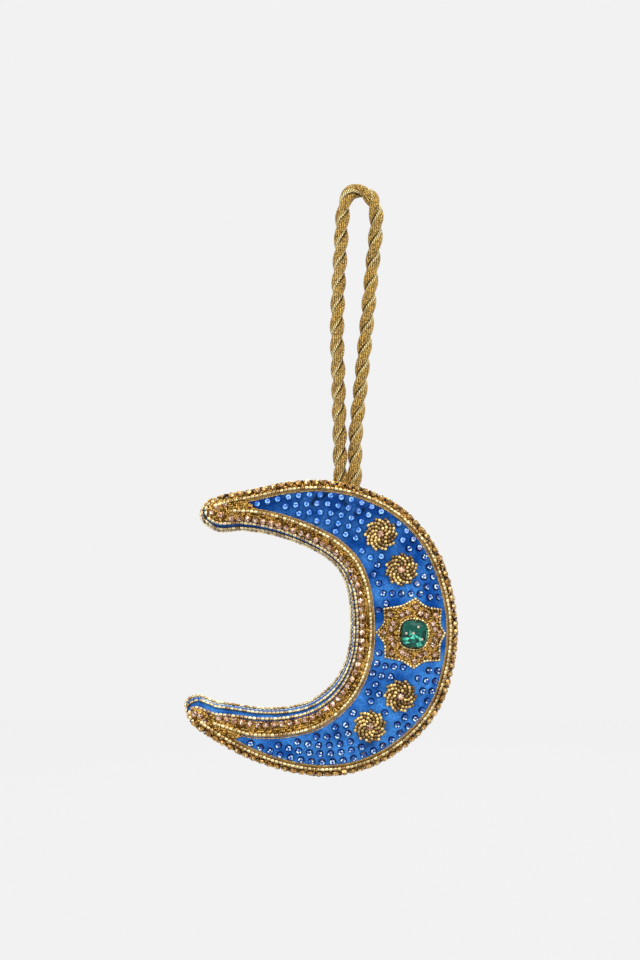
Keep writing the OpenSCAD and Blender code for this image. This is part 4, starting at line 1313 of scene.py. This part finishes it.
seedGold = beadFinish("pale gold seed glass", (140, 102, 34), (250, 230, 172), 1.0, 0.26,
                      Metallic=0.85, Coat_Weight=1.0, Coat_Roughness=0.05)
rosetteGold = beadFinish("rosette seed glass", (104, 72, 12), (228, 196, 122), 1.6, 0.24,
                         Metallic=0.85, Coat_Weight=0.8, Coat_Roughness=0.05)
purlGold = beadFinish("gold purl", (84, 54, 4), (216, 172, 88), 1.6, 0.3, Metallic=0.85)
# the padding's dull gold is partly painted shade between the rosette's beads
paddingGoldAndShade = beadFinish("rosette padding", (132, 94, 22), (176, 132, 50), 1.0, 0.6, Metallic=0.2)
champagne = stoneFinish("champagne crystal", (62, 34, 14), (180, 126, 84), (255, 236, 220), -0.03,
                        Metallic=0.6, Roughness=0.12, Coat_Weight=0.6, Coat_Roughness=0.04)
golden = stoneFinish("golden crystal", (92, 60, 20), (186, 136, 58), (255, 232, 170), -0.1,
                     Metallic=0.75, Roughness=0.16, Coat_Weight=0.6, Coat_Roughness=0.04)
sapphire = stoneFinish("sapphire stone", (0, 12, 70), (6, 92, 190), (220, 244, 255), -0.1,
                       Metallic=0.0, Roughness=0.25, Coat_Weight=0.3, Coat_Roughness=0.05)
# painted light: a paler copy of the sapphire for the upper stones, which face the light
litSapphire = stoneFinish("sapphire stone facing the light", (0, 26, 104), (44, 118, 216), (140, 196, 252),
                           0.06, Metallic=0.0, Roughness=0.35, Coat_Weight=0.1, Coat_Roughness=0.1)
emeraldFoil = stoneFinish("emerald foil", (0, 40, 38), (0, 108, 98), (160, 255, 238), -0.12,
                          Metallic=0.0, Roughness=0.5)
emeraldGlass, tree, sockets = newFinish("emerald glass", Transmission_Weight=1.0, IOR=1.25, Metallic=0.0,
                                        Specular_IOR_Level=0.2)
grain = useGroup(tree, grainGroup, {"Scale": 400.0, "Patch scale": 200.0})
feed(tree, sockets, Base_Color=mixed(tree, grain["Patches"], colour(150, 232, 214), colour(175, 240, 225)),
     Roughness=ranged(tree, grain["Grain"], 0.0, 1.0, 0.08, 0.14))
cordGold = threadFinish("gold cord", (62, 38, 2), (212, 172, 90), (255, 238, 176), 600.0, 6.0, 0.8, 0.0005,
                        Metallic=0.6, Roughness=0.36)
threadGold = threadFinish("gold thread", (176, 130, 60), (246, 206, 122), (250, 220, 150), 1500.0, 1.0, 0.0,
                          0.00008, Metallic=0.5, Roughness=0.4)
bindingGold = plainThreadFinish("gold binding thread", (96, 60, 12), (206, 158, 76), 900.0,
                                Metallic=0.7, Roughness=0.4)
sewingBlue, beige, cotton, fibreWhite = (
    plainThreadFinish(name, dark, light, scale, Roughness=roughness)
    for name, dark, light, scale, roughness in (
        ("blue sewing thread", (16, 50, 120), (52, 104, 190), 1200.0, 0.6),
        ("beige thread", (170, 150, 130), (232, 216, 196), 1200.0, 0.7),
        ("cotton cloth", (206, 198, 180), (238, 232, 218), 700.0, 0.9),
        ("polyester stuffing", (215, 215, 212), (246, 246, 244), 90.0, 0.95)))
print("finishes mixed")

# The pieces take their finish and ride on their bodies
finishPiece(hangingCord, "gold_cord", cordGold, "hanging_cord", body=None)
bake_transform(hangingCord)
for piece, node in velvetPieces:
    finishPiece(piece, "blue_velvet", velvetBlue, node)
finishPiece(wadding, "stuffing", fibreWhite, "filling")
finishPiece(backing, "backing_cotton", cotton, "embroidery_backing")
for piece, node in ((innerPurl, "inner_band"), (rimPurl, "rim_band"), (medallionPurl, "medallion_ground")):
    finishPiece(piece, "gold_purl", purlGold, node)
finishPiece(rimThread, "gold_thread", threadGold, "rim_thread")
finishPiece(innerThread, "gold_thread", threadGold, "inner_thread")
for name in ("rim_seed_row", "inner_seed_row", "front_seam_seed_row", "bay_seed_row", "back_seam_seed_row",
             "medallion_outline", "medallion_ring"):
    widthShare = seed["fineWidth"] if name.startswith("medallion") else seed["width"]
    spots = seedSpots(name, widthShare) + (tipSeedSpots() if name == "bay_seed_row" else [])
    row = smooth(copies("seeds_" + name, seedShape, spots), 50)
    finishPiece(row, "gold_seed_bead", seedGold, name)
for i in range(4):
    strings = smooth(copies(f"seeds_rosette_{i + 1}", seedShape, rosetteSpots(i)), 50)
    finishPiece(strings, "gold_seed_bead", rosetteGold, f"rosette_{i + 1}_beads")
    finishPiece(rosetteGround(i), "gold_thread", paddingGoldAndShade)
    spots = crystalSpots(f"rosette_{i + 1}_heart")
    heart = copies(f"crystal_rosette_{i + 1}", crystalShape, spots, crystalFire)
    finishPiece(heart, "champagne_crystal", champagne, f"rosette_{i + 1}_heart")
for name, finish in (("rim_crystals", golden), ("inner_crystals", champagne),
                     ("medallion_crystals", champagne)):
    spots = crystalSpots(name) + (hornTipSpots() if name == "inner_crystals" else [])
    row = copies("crystals_" + name, crystalShape, spots, crystalFire)
    finishPiece(row, "champagne_crystal", finish, name)
for name, finish in (("upper_stones", litSapphire), ("belly_stones", sapphire), ("lower_stones", sapphire)):
    stones = copies("stones_" + name, stoneShape, stoneSpots(name), stoneFire, flatStone["glow"])
    finishPiece(stones, "sapphire_stone", finish, name)
finishPiece(gemFront, "emerald_glass", emeraldGlass, "medallion_gem")
finishPiece(gemBack, "emerald_glass", emeraldFoil)
for name, finish in (("cord_whipping", bindingGold), ("cord_anchor_stitches", bindingGold),
                     ("closing_stitches", sewingBlue), ("gem_stitches", beige)):
    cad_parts[name].data.materials.clear()
    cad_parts[name].data.materials.append(finish)
print("pieces finished")

# Pale floor under the ornament, pale studio round it
studio = {"floorDrop": 0.09, "floorSize": 1.6, "paper": 0.887, "shadowShare": 0.04, "fill": 0.4}
paperColour = (studio["paper"],) * 3 + (1,)


def inView(tree):
    # 1 where the camera looks, straight, mirrored or through glass, and 0 for light that falls on things
    light = put(tree, "LightPath").outputs
    seen = calc(tree, "MAXIMUM", light["Is Camera Ray"], light["Is Glossy Ray"])
    return calc(tree, "MAXIMUM", seen, light["Is Transmission Ray"])


deselectAll()
floorPlace = (0, 0, cadBox[0].z - studio["floorDrop"])
bpy.ops.mesh.primitive_plane_add(size=studio["floorSize"], location=floorPlace)
floor = bpy.context.object
floor.name = "floor"
paper, tree, sockets = newFinish("pale paper", Roughness=0.9)
sockets["Base Color"].default_value = paperColour
share = calc(tree, "MULTIPLY", inView(tree), 1 - studio["shadowShare"])
glow = put(tree, "Emission", {"Color": paperColour, "Strength": 1.0}).outputs[0]
lit = put(tree, "MixShader", {0: share, 1: tree.nodes["Principled BSDF"].outputs[0], 2: glow}).outputs[0]
feed(tree, tree.nodes["Material Output"].inputs, Surface=lit)
floor.data.materials.append(paper)

world = bpy.data.worlds.new("studio")
bpy.context.scene.world = world
world.use_nodes = True
tree, background = world.node_tree, world.node_tree.nodes["Background"].inputs
background["Color"].default_value = (1, 1, 1, 1)
feed(tree, background, Strength=ranged(tree, inView(tree), 0.0, 1.0, studio["fill"], studio["paper"]))

lamps = [  # place, size, power
    ((0.35, -0.75, 0.40), 0.70, 6.5),
    ((-0.60, -0.60, 0.05), 0.60, 2.2),
    ((0.00, -0.10, 0.60), 0.40, 1.5),
    ((0.10, 0.60, 0.20), 0.50, 1.5),
]
target = Vector((camera["place"][0], 0, -0.15))
for place, size, power in lamps:
    bpy.ops.object.light_add(type="AREA", location=place)
    lamp = bpy.context.object
    lamp.rotation_euler = (target - Vector(place)).to_track_quat("-Z", "Y").to_euler()
    lamp.data.size, lamp.data.energy = size, power
bpy.context.scene.view_settings.view_transform = "Standard"
print("studio lit")
